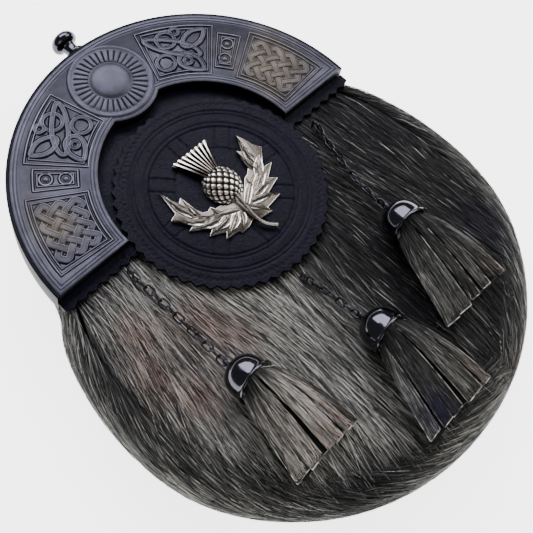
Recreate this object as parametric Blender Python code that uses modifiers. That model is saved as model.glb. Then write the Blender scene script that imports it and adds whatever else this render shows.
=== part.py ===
"""Dress sporran: a fur pouch with a cast cantle, a thistle badge and three chained tassels.

It lies on its back on the plane z = 0: +Z out of the front, +Y towards the cantle, +X to the
right. Each piece is drawn in millimetres about the centre of the roundel's face, and new_piece
turns that into metres and moves it to the frame on the table.
"""
import math

import bmesh
import bpy
from mathutils import Matrix, Vector

MM = 0.001

# The roundel's centre in the frame on the table.
ROUNDEL_Y = 20.5
ROUNDEL_Z = 30.0

# Leather and hide, laid one on the other below the roundel's face.
LEATHER = 1.8
HIDE = 2.0
GAP = 0.3
ROUNDEL_BACK = -LEATHER
APRON_FRONT = ROUNDEL_BACK - GAP
APRON_BACK = APRON_FRONT - LEATHER
HIDE_FRONT = APRON_BACK - GAP
SEAM_DROP = 0.8
SEAM_ROLL = 8.0
ROUNDEL_R = 44.9
ROUNDEL_TEETH = 50
PINKING = 1.7
APRON_LOW_Y = 1.2

# The cantle: an arch about a centre above the roundel's, with a lobe under its medallion.
ARCH_Y = 8.0
ARCH_END_Y = 7.0
ARCH_INNER_R = 44.8
PLATE_R = 78.4
RIM_R = 81.0
LOBE_R = 20.2
MEDALLION_Y = 67.2
CANTLE_WALL = 1.6
PLATE_FRONT = 3.2
RIM_FRONT = 2.6
PLATE_BACK = 1.0
INNER_BACK = APRON_FRONT + GAP
RIM_BACK = -8.5
RELIEF = 0.8
RELIEF_LIFT = 0.0113
WELD = 0.01
ARCH_STEPS = 24

# The pouch: its widest line is half way down the gusset.
WIDEST_Z = -15.0
BACK_Z = -ROUNDEL_Z
BACK_LIP = 1.0
BACK_RISE = 7.0
RISE_FROM_Y = 12.0
RISE_TO_Y = 22.0
MOUTH_EDGE_Y = 69.0

# One side of the gusset, from the mouth down to the middle of the foot.
# columns: x and y of the widest line, front seam's inset, back seam's inset
GUSSET_STATIONS = (
    (58.4, 57.0, 0.0, 0.0),
    (66.0, 46.1, 0.0, 0.0),
    (71.6, 34.1, 0.0, 0.0),
    (75.0, 22.0, 0.4, 0.2),
    (77.4, 12.0, 1.8, 1.2),
    (80.4, 5.0, 4.4, 2.4),
    (87.0, -2.0, 7.4, 4.0),
    (92.6, -16.0, 9.0, 5.0),
    (96.6, -33.0, 11.0, 6.0),
    (98.0, -54.0, 12.0, 6.0),
    (95.2, -76.0, 13.5, 6.0),
    (87.6, -93.5, 14.0, 6.0),
    (74.6, -110.5, 14.0, 6.0),
    (57.0, -125.5, 14.0, 6.0),
    (38.0, -135.2, 14.0, 6.0),
    (19.0, -140.4, 14.0, 6.0),
    (0.0, -142.0, 14.0, 6.0),
)
SECTION_STEPS = 3

# Ornament of the cantle: angles up from the arch's ends, radii from the arch's centre.
KNOT_PANEL = {"low": 3.7, "high": 31.8, "inner": 48.2, "outer": 74.0}
RING_PANEL = {"low": 34.2, "high": 42.3, "inner": 52.4, "outer": 70.4}
LOOP_PANEL = {"low": 44.5, "high": 76.0, "inner": 48.2, "outer": 74.0}
LOOP_CENTRE_R = 62.0
LOOP_CENTRE_ANGLE = 58.5
LOOP_HEADINGS = (10.0, 98.0)
LOOP_HALF_LENGTH = 11.5
LOOP_HALF_WIDTH = 4.2
WEAVE = 0.3
PLAIT_STRANDS = 3
PLAIT_POINTS = 8
PLAIT_MARGIN = 4.2
PLAIT_END_ANGLE = 2.8
BOSS_ANGLE = 38.7
BOSS_RADII = (57.4, 65.3)
BOSS_R = 2.5
DOME_R = 8.8
FLUTES = 16
FLUTE_OUTER_R = 15.8
MEDALLION_R = 17.6

# The thistle badge: each row is one lobe of a leaf, its point and the notch after it.
# columns: tip x, tip y, notch x, notch y
LEAF_LOBES = (
    (7.9, -20.8, 8.4, -18.9),
    (15.7, -18.0, 12.6, -15.4),
    (20.0, -12.2, 16.8, -9.6),
    (24.0, -5.3, 20.6, -3.6),
    (26.1, 2.8, 23.4, 3.6),
    (21.3, 15.0, 18.8, 5.8),
    (16.2, 8.4, 15.4, 0.0),
    (10.2, -2.8, 7.0, -6.0),
)
BADGE_BACK = GAP
LEAF_FRONT = 2.0
BULB = {"x": 0.7, "y": 0.4, "z": 1.0, "rx": 8.0, "ry": 8.2, "rz": 3.6}
FLOWER_BASE = (-2.2, 5.0, 7.5)
FLOWER_TOP = (-8.8, 10.3, 20.3)
FLOWER_FRONT = 2.8
FLOWER_POINTS = 8
STEM = ((1.0, -6.0, 3.2), (0.5, -12.0, 2.9), (0.1, -19.0, 2.2), (0.9, -24.0, 1.8), (4.0, -27.0, 1.6))
STEM_R = 1.0

# The knob's profile. columns: radius, height above the cantle's rim
KNOB_Z = -2.9
KNOB_PROFILE = (
    (0.0, 12.0), (3.9, 11.8), (5.4, 10.6), (6.0, 8.8), (5.8, 7.4), (4.4, 6.4), (3.3, 5.9),
    (3.1, 2.3), (4.4, 1.8), (4.4, 0.5), (0.0, 0.5),
)

# Chains of oval links and the staples that they start from.
LINK_WIRE_R = 0.45
LINK_HALF_LENGTH = 2.4
LINK_HALF_WIDTH = 1.35
LINK_SIDES = 10
LINK_ROUND = 1.05
LINK_OVERLAP = 0.55
CHAIN_Z = -0.4
STAPLE_WIRE_R = 0.5
STAPLE_HALF_SPAN = 1.5
STAPLE_TOP = 1.2
# columns: share of the half span, share of the rise
STAPLE_LINE = ((-1.0, 0.0), (-1.0, 0.75), (-0.6, 1.0), (0.6, 1.0), (1.0, 0.75), (1.0, 0.0))

# Caps and tassels.
CAP_HEIGHT = 12.6
CAP_TILT = 14.0
CAP_SIDES = 10
# columns: radius, height above the rim
CAP_PROFILE = (
    (0.0, 12.6), (3.4, 12.1), (6.2, 10.2), (8.0, 7.2), (8.5, 2.4), (9.0, 1.5), (9.0, 0.0),
    (7.9, 0.0), (6.8, 7.2), (4.8, 9.2), (0.0, 11.2),
)
HEAD_R = 7.0
# columns: radius, height above the cap's rim
HEAD_PROFILE = ((0.0, 7.0), (4.8, 6.6), (6.6, 4.0), (7.0, 0.0), (7.0, -3.0), (0.0, -3.0))
CAP_RIM_Z = 7.4
LOOP_R = 1.7
LOOP_WIRE_R = 0.5
LOOP_SINK = 0.2
STRIP_THICKNESS = 3.0
STRIP_WIDTH = 5.6
# columns: name, chain top x and y, chain bow, links, cap rim x and y, cap heading,
# tassel end y, left edge x, right edge x, material
TASSELS = (
    ("left", -52.6, -2.6, 0.6, 13, -51.0, -69.2, 7.0, -104.6, -65.5, -38.5, "tassel_pale"),
    ("middle", -3.2, -50.2, 0.9, 7, 0.2, -91.4, 5.0, -129.4, -18.0, 17.4, "tassel_dark"),
    ("right", 52.0, -4.6, -1.2, 11, 41.4, -66.2, -5.0, -104.2, 22.6, 57.4, "tassel_dark"),
)
STRIPS = 7

# The hidden back: loops for the hanging strap and the tab that closes the mouth.
BELT_LOOP_X = 40.0
BELT_LOOP_WIDTH = 16.0
BELT_LOOP_LOW_Y = 33.0
BELT_LOOP_HIGH_Y = 63.0
BELT_LOOP_FLANGE = 5.0
STRAP_LEATHER = 2.0
TAB_WIDTH = 40.0
TAB_FOLD_Y = 73.5
TAB_END_Y = 36.0
TAB_INNER_END_Y = 50.0
STUD_R = 5.0
STUD_Y = 45.0

SLEEVE_BACK = BACK_Z + BACK_RISE

MATERIALS = {
    "antique_nickel": ((0.15, 0.15, 0.17), 0.38, 1.0),
    "silver": ((0.52, 0.50, 0.46), 0.32, 1.0),
    "black_nickel": ((0.03, 0.03, 0.035), 0.16, 1.0),
    "leather": ((0.012, 0.012, 0.018), 0.5, 0.0),
    "fur": ((0.12, 0.115, 0.11), 0.85, 0.0),
    "tassel_pale": ((0.32, 0.29, 0.26), 0.85, 0.0),
    "tassel_dark": ((0.05, 0.05, 0.055), 0.85, 0.0),
}


def clear_scene():
    """Empty the file, so that the script starts the same way each run."""
    for data in list(bpy.data.objects):
        bpy.data.objects.remove(data, do_unlink=True)


def make_collection(name):
    """A new collection in the scene."""
    collection = bpy.data.collections.new(name)
    bpy.context.scene.collection.children.link(collection)
    return collection


def make_material(name):
    """A Principled material from the MATERIALS table."""
    colour, roughness, metallic = MATERIALS[name]
    material = bpy.data.materials.new(name)
    material.use_nodes = True
    shader = material.node_tree.nodes["Principled BSDF"]
    shader.inputs["Base Color"].default_value = (*colour, 1.0)
    shader.inputs["Roughness"].default_value = roughness
    shader.inputs["Metallic"].default_value = metallic
    return material


def new_piece(name, mesh, slot, smooth_angle=None):
    """A named part from a mesh in roundel millimetres, with a material of its own."""
    mesh.transform(Matrix.Translation((0, ROUNDEL_Y, ROUNDEL_Z)))
    mesh.transform(Matrix.Scale(MM, 4))
    if smooth_angle is not None:
        mesh.shade_smooth()
        mesh.set_sharp_from_angle(angle=math.radians(smooth_angle))
    mesh.materials.clear()
    material = make_material(slot)
    material.name = name + "_" + slot
    mesh.materials.append(material)
    piece = bpy.data.objects.new(name, mesh)
    PARTS.objects.link(piece)
    return piece


def temporary(mesh):
    """A scratch object that carries modifiers for a moment."""
    holder = bpy.data.objects.new("scratch", mesh)
    SCRATCH.objects.link(holder)
    return holder


def evaluated_mesh(holder):
    """The mesh that an object's modifiers or curve settings give; the object is removed."""
    bpy.context.view_layer.update()
    mesh = bpy.data.meshes.new_from_object(holder.evaluated_get(bpy.context.evaluated_depsgraph_get()))
    bpy.data.objects.remove(holder, do_unlink=True)
    return mesh


def tidy(mesh, merge=1e-4):
    """Weld the loose caps of a curve and turn the faces out."""
    shape = bmesh.new()
    shape.from_mesh(mesh)
    bmesh.ops.remove_doubles(shape, verts=shape.verts, dist=merge)
    bmesh.ops.recalc_face_normals(shape, faces=shape.faces)
    shape.to_mesh(mesh)
    shape.free()
    return mesh


def boolean(base, other, operation):
    """One exact Boolean of two closed meshes."""
    holder, tool = temporary(base), temporary(other)
    modifier = holder.modifiers.new("boolean", "BOOLEAN")
    modifier.operation = operation
    modifier.solver = "EXACT"
    modifier.object = tool
    mesh = evaluated_mesh(holder)
    bpy.data.objects.remove(tool, do_unlink=True)
    return mesh


def fuse(meshes, lift=0.0):
    """Join closed meshes into one body; a lift keeps their faces out of one another's plane."""
    fused = meshes[0]
    for index, mesh in enumerate(meshes[1:]):
        mesh.transform(Matrix.Translation((0, 0, lift * (index % 7))))
        fused = boolean(fused, mesh, "UNION")
    return tidy(fused, WELD)


def slab(outline, low, high):
    """A flat closed outline drawn up from one height to another."""
    curve = bpy.data.curves.new("outline", "CURVE")
    curve.dimensions = "2D"
    curve.fill_mode = "BOTH"
    curve.extrude = (high - low) / 2
    spline = curve.splines.new("POLY")
    spline.points.add(len(outline) - 1)
    for point, (x, y) in zip(spline.points, outline):
        point.co = (x, y, 0, 1)
    spline.use_cyclic_u = True
    mesh = tidy(evaluated_mesh(temporary(curve)))
    mesh.transform(Matrix.Translation((0, 0, (low + high) / 2)))
    return mesh


def wire(points, radius, sides=4, closed=False):
    """A wire through the points, with a cross-section of few sides."""
    section = bpy.data.curves.new("section", "CURVE")
    ring = section.splines.new("POLY")
    ring.points.add(sides - 1)
    for index, point in enumerate(ring.points):
        angle = 2 * math.pi * (index + 0.5) / sides - math.pi / 2
        point.co = (radius * math.cos(angle), radius * math.sin(angle), 0, 1)
    ring.use_cyclic_u = True
    profile = temporary(section)
    curve = bpy.data.curves.new("wire", "CURVE")
    curve.dimensions = "3D"
    curve.bevel_mode = "OBJECT"
    curve.bevel_object = profile
    curve.use_fill_caps = not closed
    spline = curve.splines.new("POLY")
    spline.points.add(len(points) - 1)
    for point, place in zip(spline.points, points):
        point.co = (*place, 1)
    spline.use_cyclic_u = closed
    mesh = tidy(evaluated_mesh(temporary(curve)))
    bpy.data.objects.remove(profile, do_unlink=True)
    return mesh


def turned(profile, steps):
    """A solid of revolution about +Z. The profile runs down its outer side from the top."""
    mesh = bpy.data.meshes.new("profile")
    places = [(radius, 0, height) for radius, height in profile]
    mesh.from_pydata(places, [(k, k + 1) for k in range(len(places) - 1)], [])
    holder = temporary(mesh)
    screw = holder.modifiers.new("screw", "SCREW")
    screw.axis = "Z"
    screw.steps = screw.render_steps = steps
    screw.use_merge_vertices = True
    screw.merge_threshold = 1e-4
    return tidy(evaluated_mesh(holder))


def shell(mesh, thickness, offset=-1.0):
    """Give an open surface a wall; an offset of -1 grows it behind the faces."""
    holder = temporary(mesh)
    solid = holder.modifiers.new("wall", "SOLIDIFY")
    solid.thickness = thickness
    solid.offset = offset
    solid.use_even_offset = True
    return evaluated_mesh(holder)


def arc(radius, start, end, steps, centre=(0.0, ARCH_Y)):
    """Points on an arc, with angles in degrees from +X."""
    angles = (math.radians(start + (end - start) * k / steps) for k in range(steps + 1))
    return [(centre[0] + radius * math.cos(a), centre[1] + radius * math.sin(a)) for a in angles]


def arch_outline(inner_r, outer_r, end_y, lobe_r):
    """The cantle's outline: outer arc, two ends, inner arc and the lobe under the medallion."""
    def end_angle(radius):
        return math.degrees(math.asin((end_y - ARCH_Y) / radius))

    rise = MEDALLION_Y - ARCH_Y
    cusp_y = (inner_r ** 2 - lobe_r ** 2 + rise ** 2) / (2 * rise)
    cusp = math.degrees(math.acos(cusp_y / inner_r))
    lobe = math.degrees(math.atan2(math.sqrt(inner_r ** 2 - cusp_y ** 2), rise - cusp_y))
    outer = arc(outer_r, end_angle(outer_r), 180 - end_angle(outer_r), ARCH_STEPS)
    left = arc(inner_r, 180 - end_angle(inner_r), 90 + cusp, ARCH_STEPS // 4)
    under = arc(lobe_r, -90 - lobe, -90 + lobe, 5, (0, MEDALLION_Y))[1:-1]
    right = arc(inner_r, 90 - cusp, end_angle(inner_r), ARCH_STEPS // 4)
    return outer + left + under + right


def polar(radius, angle):
    """A place on the cantle from its radius and its angle up from the right end."""
    return (radius * math.cos(math.radians(angle)), ARCH_Y + radius * math.sin(math.radians(angle)))


def panel_frame(panel, steps=3):
    """The raised line round an ornament panel on the right side."""
    low, high = panel["low"], panel["high"]
    return arc(panel["outer"], low, high, steps) + arc(panel["inner"], high, low, steps)


def plait(panel):
    """The strands that weave along a panel, over and under one another."""
    middle = (panel["inner"] + panel["outer"]) / 2
    half = (panel["outer"] - panel["inner"]) / 2 - PLAIT_MARGIN
    low, high = panel["low"] + PLAIT_END_ANGLE, panel["high"] - PLAIT_END_ANGLE
    strands = []
    for index in range(PLAIT_STRANDS):
        strand = []
        for k in range(PLAIT_POINTS):
            share = k / (PLAIT_POINTS - 1)
            turn = 2 * math.pi * (share + (index + 0.3) / PLAIT_STRANDS)
            x, y = polar(middle + half * math.sin(turn), low + (high - low) * share)
            strand.append((x, y, PLATE_FRONT + WEAVE * math.cos(2 * turn)))
        strands.append(strand)
    return strands


def oval_band(heading, points):
    """One oval of the pair that cross in the panel beside the medallion."""
    centre = polar(LOOP_CENTRE_R, LOOP_CENTRE_ANGLE)
    along = math.radians(heading)
    band = []
    for k in range(points):
        t = 2 * math.pi * k / points
        reach, side = LOOP_HALF_LENGTH * math.cos(t), LOOP_HALF_WIDTH * math.sin(t)
        band.append((centre[0] + reach * math.cos(along) - side * math.sin(along),
                     centre[1] + reach * math.sin(along) + side * math.cos(along),
                     PLATE_FRONT + WEAVE * math.sin(2 * t)))
    return band


def mirrored(points):
    """The same line on the left side."""
    return [(-x, *rest) for x, *rest in reversed(points)]


def raised(points):
    """A flat line lifted to the cantle's face."""
    return [(x, y, PLATE_FRONT) for x, y in points]


def make_cantle():
    """The hollow arch with its plate, deep rim, medallion and raised ornament."""
    inside_r = RIM_R - CANTLE_WALL
    body = slab(arch_outline(ARCH_INNER_R, RIM_R, ARCH_END_Y, LOBE_R), RIM_BACK, RIM_FRONT)
    hollow = slab(arch_outline(ARCH_INNER_R + CANTLE_WALL, inside_r, ARCH_END_Y + CANTLE_WALL,
                               LOBE_R - CANTLE_WALL), RIM_BACK - 1.0, PLATE_BACK)
    seat = slab(arc(inside_r - 0.02, -12, 192, ARCH_STEPS), RIM_BACK - 2.0, INNER_BACK)
    body = boolean(boolean(body, hollow, "DIFFERENCE"), seat, "DIFFERENCE")
    plate = slab(arch_outline(ARCH_INNER_R + 0.02, PLATE_R, ARCH_END_Y + 0.02, LOBE_R - 0.02),
                 PLATE_BACK + 0.5, PLATE_FRONT)
    pieces = [body, plate]

    lines = [raised(panel_frame(panel, steps))
             for panel, steps in ((KNOT_PANEL, 3), (RING_PANEL, 2), (LOOP_PANEL, 3))]
    lines += [raised(arc(BOSS_R, 0, 300, 5, polar(radius, BOSS_ANGLE))) for radius in BOSS_RADII]
    lines += [oval_band(heading, 10) for heading in LOOP_HEADINGS]
    for line in lines:
        pieces += [wire(side, RELIEF, sides=3, closed=True) for side in (line, mirrored(line))]
    for strand in plait(KNOT_PANEL):
        pieces += [wire(side, RELIEF, sides=3) for side in (strand, mirrored(strand))]

    teeth = []
    for k in range(2 * FLUTES):
        radius = FLUTE_OUTER_R if k % 2 else FLUTE_OUTER_R - 1.6
        angle = math.pi * k / FLUTES
        teeth.append((radius * math.cos(angle), MEDALLION_Y + radius * math.sin(angle)))
    dome = turned(((0.0, 1.9), (4.6, 1.6), (7.4, 0.9), (DOME_R, 0.0), (DOME_R, -1.0), (0.0, -1.0)), 16)
    dome.transform(Matrix.Translation((0, MEDALLION_Y, PLATE_FRONT + 0.5)))
    border = raised(arc(MEDALLION_R, 0, 337.5, 15, (0, MEDALLION_Y)))
    pieces.append(wire(border, RELIEF, sides=3, closed=True))
    pieces.append(slab(teeth, PLATE_FRONT - 0.5, PLATE_FRONT + 0.55))
    pieces.append(dome)
    new_piece("cantle", fuse(pieces, RELIEF_LIFT), "antique_nickel", 40)


def make_knob():
    """The knob that stands on the top of the cantle's rim."""
    mesh = turned(KNOB_PROFILE, 12)
    mesh.transform(Matrix.Rotation(math.radians(-90), 4, "X"))
    mesh.transform(Matrix.Translation((0.6, ARCH_Y + RIM_R, KNOB_Z)))
    new_piece("cantle_knob", mesh, "black_nickel", 40)


def pinked(start, end, teeth):
    """A straight edge cut in teeth, without its last point."""
    start, end = Vector(start), Vector(end)
    out = Vector((start.y - end.y, end.x - start.x)).normalized() * PINKING
    points = []
    for k in range(teeth):
        points.append(start.lerp(end, k / teeth))
        points.append(start.lerp(end, (k + 0.5) / teeth) + out)
    return [tuple(point) for point in points]


def make_apron():
    """The leather under the cantle, with a pinked lower edge on each side of the roundel."""
    inner_r = RIM_R - CANTLE_WALL - GAP
    top = ARCH_END_Y - GAP
    angle = math.degrees(math.asin((top - ARCH_Y) / inner_r))
    low = APRON_LOW_Y
    outline = [(RIM_R, low), (RIM_R, top)] + arc(inner_r, angle, 180 - angle, 40)
    outline += [(-RIM_R, top), (-RIM_R, low)]
    outline += pinked((-RIM_R + 0.4, low), (-42.0, low), 7)[1:] + [(-42.0, low), (42.0, low)]
    outline += pinked((42.0, low), (RIM_R - 0.4, low), 7)[1:]
    new_piece("apron", slab(outline, APRON_BACK, APRON_FRONT), "leather")


def make_roundel():
    """The pinked disc of tooled leather that carries the badge."""
    outline = []
    for k in range(2 * ROUNDEL_TEETH):
        radius = ROUNDEL_R - (PINKING if k % 2 else 0)
        angle = math.pi * k / ROUNDEL_TEETH
        outline.append((radius * math.cos(angle), radius * math.sin(angle)))
    new_piece("roundel", slab(outline, ROUNDEL_BACK, 0), "leather")


def make_badge():
    """The thistle: a scaled bulb, its flower, a stem and a pair of lobed leaves."""
    leaf = [(-2.0, -9.0), (-2.0, -19.5)]
    for tip_x, tip_y, notch_x, notch_y in LEAF_LOBES:
        leaf += [(tip_x, tip_y), (notch_x, notch_y)]
    leaves = [slab(leaf, BADGE_BACK, LEAF_FRONT), slab(mirrored(leaf), BADGE_BACK, LEAF_FRONT - 0.02)]

    bulb = bmesh.new()
    bmesh.ops.create_uvsphere(bulb, u_segments=14, v_segments=8, radius=1)
    bmesh.ops.scale(bulb, vec=(BULB["rx"], BULB["ry"], BULB["rz"]), verts=bulb.verts)
    bmesh.ops.translate(bulb, vec=(BULB["x"], BULB["y"], BULB["z"]), verts=bulb.verts)
    cut = bmesh.ops.bisect_plane(bulb, geom=bulb.verts[:] + bulb.edges[:] + bulb.faces[:],
                                 plane_co=(0, 0, BADGE_BACK + 0.05), plane_no=(0, 0, 1), clear_inner=True)
    bmesh.ops.holes_fill(bulb, edges=[e for e in cut["geom_cut"] if isinstance(e, bmesh.types.BMEdge)])
    bulb_mesh = bpy.data.meshes.new("bulb")
    bulb.to_mesh(bulb_mesh)
    bulb.free()

    left, right, base_y = FLOWER_BASE
    top_left, top_right, top_y = FLOWER_TOP
    flower = [(left, base_y - 3.0), (right, base_y - 3.0), (right, base_y + 2.0), (top_right, top_y)]
    for k in range(1, 2 * FLOWER_POINTS):
        share = k / (2 * FLOWER_POINTS)
        flower.append((top_right + (top_left - top_right) * share, top_y - (0.9 if k % 2 else 0)))
    flower += [(top_left, top_y), (left, base_y + 2.0)]
    pieces = [*leaves, tidy(bulb_mesh), slab(flower, BADGE_BACK + 0.04, FLOWER_FRONT),
              wire(STEM, STEM_R, sides=6)]
    new_piece("thistle_badge", fuse(pieces), "silver", 40)


def gusset_path():
    """Stations along the gusset, from the mouth's right end round the foot to its left end."""
    half = [Vector(row) for row in GUSSET_STATIONS]
    return half + [Vector((-row[0], *row[1:])) for row in reversed(half[:-1])]


def path_normals(path):
    """Unit vectors out of the pouch at each station."""
    normals = []
    for k in range(len(path)):
        before, after = path[max(k - 1, 0)], path[min(k + 1, len(path) - 1)]
        along = Vector((after[0] - before[0], after[1] - before[1])).normalized()
        normals.append(Vector((-along.y, along.x)))
    return normals


def seam_front_z(inset):
    """Height of the hide's face at the front seam, lower where the gusset rolls out further."""
    return HIDE_FRONT - SEAM_DROP * min(inset / 8.0, 1.0)


def back_rise(y):
    """How far the back is above its lowest plane at a given height up the pouch."""
    share = min(max((y - RISE_FROM_Y) / (RISE_TO_Y - RISE_FROM_Y), 0.0), 1.0)
    return BACK_RISE * share


def gusset_section(row, normal):
    """Points over the gusset, from the front seam round its widest line to the back seam."""
    x, y, front_inset, back_inset = row
    front_z = seam_front_z(front_inset)
    back_z = BACK_Z + STRAP_LEATHER + GAP + back_rise(y - normal.y * back_inset)
    section = []
    for k in range(SECTION_STEPS):
        turn = math.pi / 2 * k / SECTION_STEPS
        section.append((front_inset * (1 - math.sin(turn)),
                        front_z + (WIDEST_Z - front_z) * (1 - math.cos(turn))))
    section.append((0.0, WIDEST_Z))
    section.append((0.3 * back_inset, WIDEST_Z + 0.7 * (back_z - WIDEST_Z)))
    section.append((back_inset, back_z))
    return [Vector((x - normal.x * inset, y - normal.y * inset, z)) for inset, z in section]


def make_gusset():
    """The hide band round the pouch, from one end of the mouth to the other."""
    path = gusset_path()
    surface = bmesh.new()
    rows = [[surface.verts.new(p) for p in gusset_section(row, normal)]
            for row, normal in zip(path, path_normals(path))]
    for one, two in zip(rows, rows[1:]):
        for k in range(len(one) - 1):
            surface.faces.new((one[k], two[k], two[k + 1], one[k + 1]))
    mesh = bpy.data.meshes.new("gusset")
    surface.to_mesh(mesh)
    surface.free()
    new_piece("gusset", shell(mesh, HIDE), "fur", 50)


def front_edge():
    """The front's outline: the seam, drawn in by the gusset's wall and a gap."""
    path = gusset_path()
    outline = []
    for row, normal in zip(path, path_normals(path)):
        first, second = gusset_section(row, normal)[:2]
        steepness = (first.z - second.z) / (second - first).length
        inset = row[2] + HIDE * steepness + GAP
        outline.append((row[0] - normal.x * inset, row[1] - normal.y * inset))
    return outline


def back_edge():
    """The back's outline: the back seam and a narrow lip outside it."""
    path = gusset_path()
    return [(row[0] - normal.x * (row[3] - BACK_LIP), row[1] - normal.y * (row[3] - BACK_LIP))
            for row, normal in zip(path, path_normals(path))]


def make_fur_front():
    """The hide of the front, closed at the top by the arch under the cantle."""
    outline = front_edge()
    top = math.degrees(math.atan2(outline[0][1] - ARCH_Y, outline[0][0]))
    radius = math.hypot(outline[0][0], outline[0][1] - ARCH_Y)
    outline += arc(radius, 180 - top, top, 14)[1:-1]
    front = bmesh.new()
    face = front.faces.new([front.verts.new((x, y, HIDE_FRONT - SEAM_DROP)) for x, y in outline])
    face.normal_update()
    if face.normal.z < 0:
        face.normal_flip()
    bmesh.ops.inset_region(front, faces=[face], thickness=SEAM_ROLL, depth=SEAM_DROP,
                           use_even_offset=True, use_boundary=True)
    mesh = bpy.data.meshes.new("front")
    front.to_mesh(mesh)
    front.free()
    new_piece("fur_front", shell(mesh, HIDE), "fur", 50)


def make_back_panel():
    """The leather back, flat on the table, that rises to the belt loops and the mouth."""
    outline = [point for point in back_edge() if point[0] >= 0]
    half = [point for point in outline if point[1] < MOUTH_EDGE_Y]
    edge_x = half[0][0]
    levels = sorted({round(y, 3): x for x, y in half[:-1]}.items())
    knees = [(y, None) for y in (RISE_FROM_Y, RISE_TO_Y)]
    rows = []
    for y, x in sorted(levels + knees, key=lambda row: row[0]):
        if x is None:
            below = max(row for row in levels if row[0] < y)
            above = min(row for row in levels if row[0] > y)
            x = below[1] + (above[1] - below[1]) * (y - below[0]) / (above[0] - below[0])
        rows.append((x, y))
    top_y = half[0][1]
    for k in range(1, 7):
        turn = math.pi / 2 * k / 7
        rows.append((edge_x * math.cos(turn), top_y + (MOUTH_EDGE_Y - top_y) * math.sin(turn)))
    panel = bmesh.new()
    foot = panel.verts.new((0, outline[-1][1], BACK_Z + STRAP_LEATHER))
    tip = panel.verts.new((0, MOUTH_EDGE_Y, BACK_Z + STRAP_LEATHER + BACK_RISE))
    pairs = []
    for x, y in rows:
        z = BACK_Z + STRAP_LEATHER + back_rise(y)
        pairs.append((panel.verts.new((-x, y, z)), panel.verts.new((x, y, z))))
    panel.faces.new((foot, pairs[0][1], pairs[0][0]))
    for (left, right), (next_left, next_right) in zip(pairs, pairs[1:]):
        panel.faces.new((left, right, next_right, next_left))
    panel.faces.new((pairs[-1][0], pairs[-1][1], tip))
    bmesh.ops.recalc_face_normals(panel, faces=panel.faces)
    if sum(face.normal.z for face in panel.faces) < 0:
        bmesh.ops.reverse_faces(panel, faces=panel.faces)
    mesh = bpy.data.meshes.new("panel")
    panel.to_mesh(mesh)
    panel.free()
    new_piece("back_panel", shell(mesh, STRAP_LEATHER), "leather", 50)


def strap(profile, x, width, thickness):
    """A strap drawn out along X; its wall stands on the left of its line in the YZ plane."""
    side = bmesh.new()
    low = [side.verts.new((x - width / 2, y, z)) for y, z in profile]
    high = [side.verts.new((x + width / 2, y, z)) for y, z in profile]
    for k in range(len(profile) - 1):
        side.faces.new((low[k], low[k + 1], high[k + 1], high[k]))
    mesh = bpy.data.meshes.new("strap")
    side.to_mesh(mesh)
    side.free()
    return shell(mesh, thickness)


def make_belt_loops():
    """Two leather loops on the raised part of the back, for the strap round the wearer's hips."""
    seat = SLEEVE_BACK - GAP
    bridge = BACK_Z + STRAP_LEATHER
    low, high, flange = BELT_LOOP_LOW_Y, BELT_LOOP_HIGH_Y, BELT_LOOP_FLANGE
    profile = ((high + flange, seat), (high, seat), (high - 1.0, seat - 1.0), (high - 1.5, bridge),
               (low + 1.5, bridge), (low + 1.0, seat - 1.0), (low, seat), (low - flange, seat))
    for name, x in (("belt_loop_left", -BELT_LOOP_X), ("belt_loop_right", BELT_LOOP_X)):
        new_piece(name, strap(profile, x, BELT_LOOP_WIDTH, STRAP_LEATHER), "leather")


def make_closing_tab():
    """The tab that folds over the mouth, from behind the front to the outside of the back."""
    inner_z = HIDE_FRONT - HIDE - GAP - STRAP_LEATHER
    outer_z = SLEEVE_BACK - GAP
    middle, radius = (inner_z + outer_z) / 2, (inner_z - outer_z) / 2
    fold = [(TAB_FOLD_Y + radius * math.sin(a), middle + radius * math.cos(a))
            for a in (math.pi * k / 8 for k in range(9))]
    profile = [(TAB_INNER_END_Y, inner_z), *fold, (TAB_END_Y, outer_z)]
    new_piece("closing_tab", strap(profile, 0.0, TAB_WIDTH, STRAP_LEATHER), "leather", 50)


def make_stud():
    """The head of the press stud that holds the tab."""
    seat = SLEEVE_BACK - GAP - STRAP_LEATHER - GAP
    mesh = turned(((0.0, 0.0), (STUD_R, 0.0), (STUD_R, -0.8), (STUD_R - 1.4, -1.9), (0.0, -2.2)), 12)
    mesh.transform(Matrix.Translation((0, STUD_Y, seat)))
    new_piece("closing_stud", mesh, "black_nickel", 40)


def oval_link(centre, along, sideways, half_length):
    """One chain link about a centre, long along one direction and wide along the other."""
    points = []
    reach = half_length - LINK_HALF_WIDTH
    for k in range(LINK_SIDES):
        turn = 2 * math.pi * (k + 0.5) / LINK_SIDES
        stretch = math.copysign(reach, math.cos(turn)) + LINK_HALF_WIDTH * LINK_ROUND * math.cos(turn)
        points.append(centre + along * stretch
                      + sideways * LINK_HALF_WIDTH * LINK_ROUND * math.sin(turn))
    return wire(points, LINK_WIRE_R, sides=5, closed=True)


def cap_frame(x, y, heading):
    """The cap's rim centre and its axis towards the apex, nose down."""
    tilt, turn = math.radians(CAP_TILT), math.radians(heading)
    rim = Vector((x, y, CAP_RIM_Z))
    axis = Vector((-math.sin(turn) * math.cos(tilt), math.cos(turn) * math.cos(tilt), -math.sin(tilt)))
    return rim, axis


def loop_centre(rim, axis):
    """The middle of the wire loop that stands on a cap's apex."""
    return rim + axis * (CAP_HEIGHT + LOOP_R - LOOP_SINK)


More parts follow.
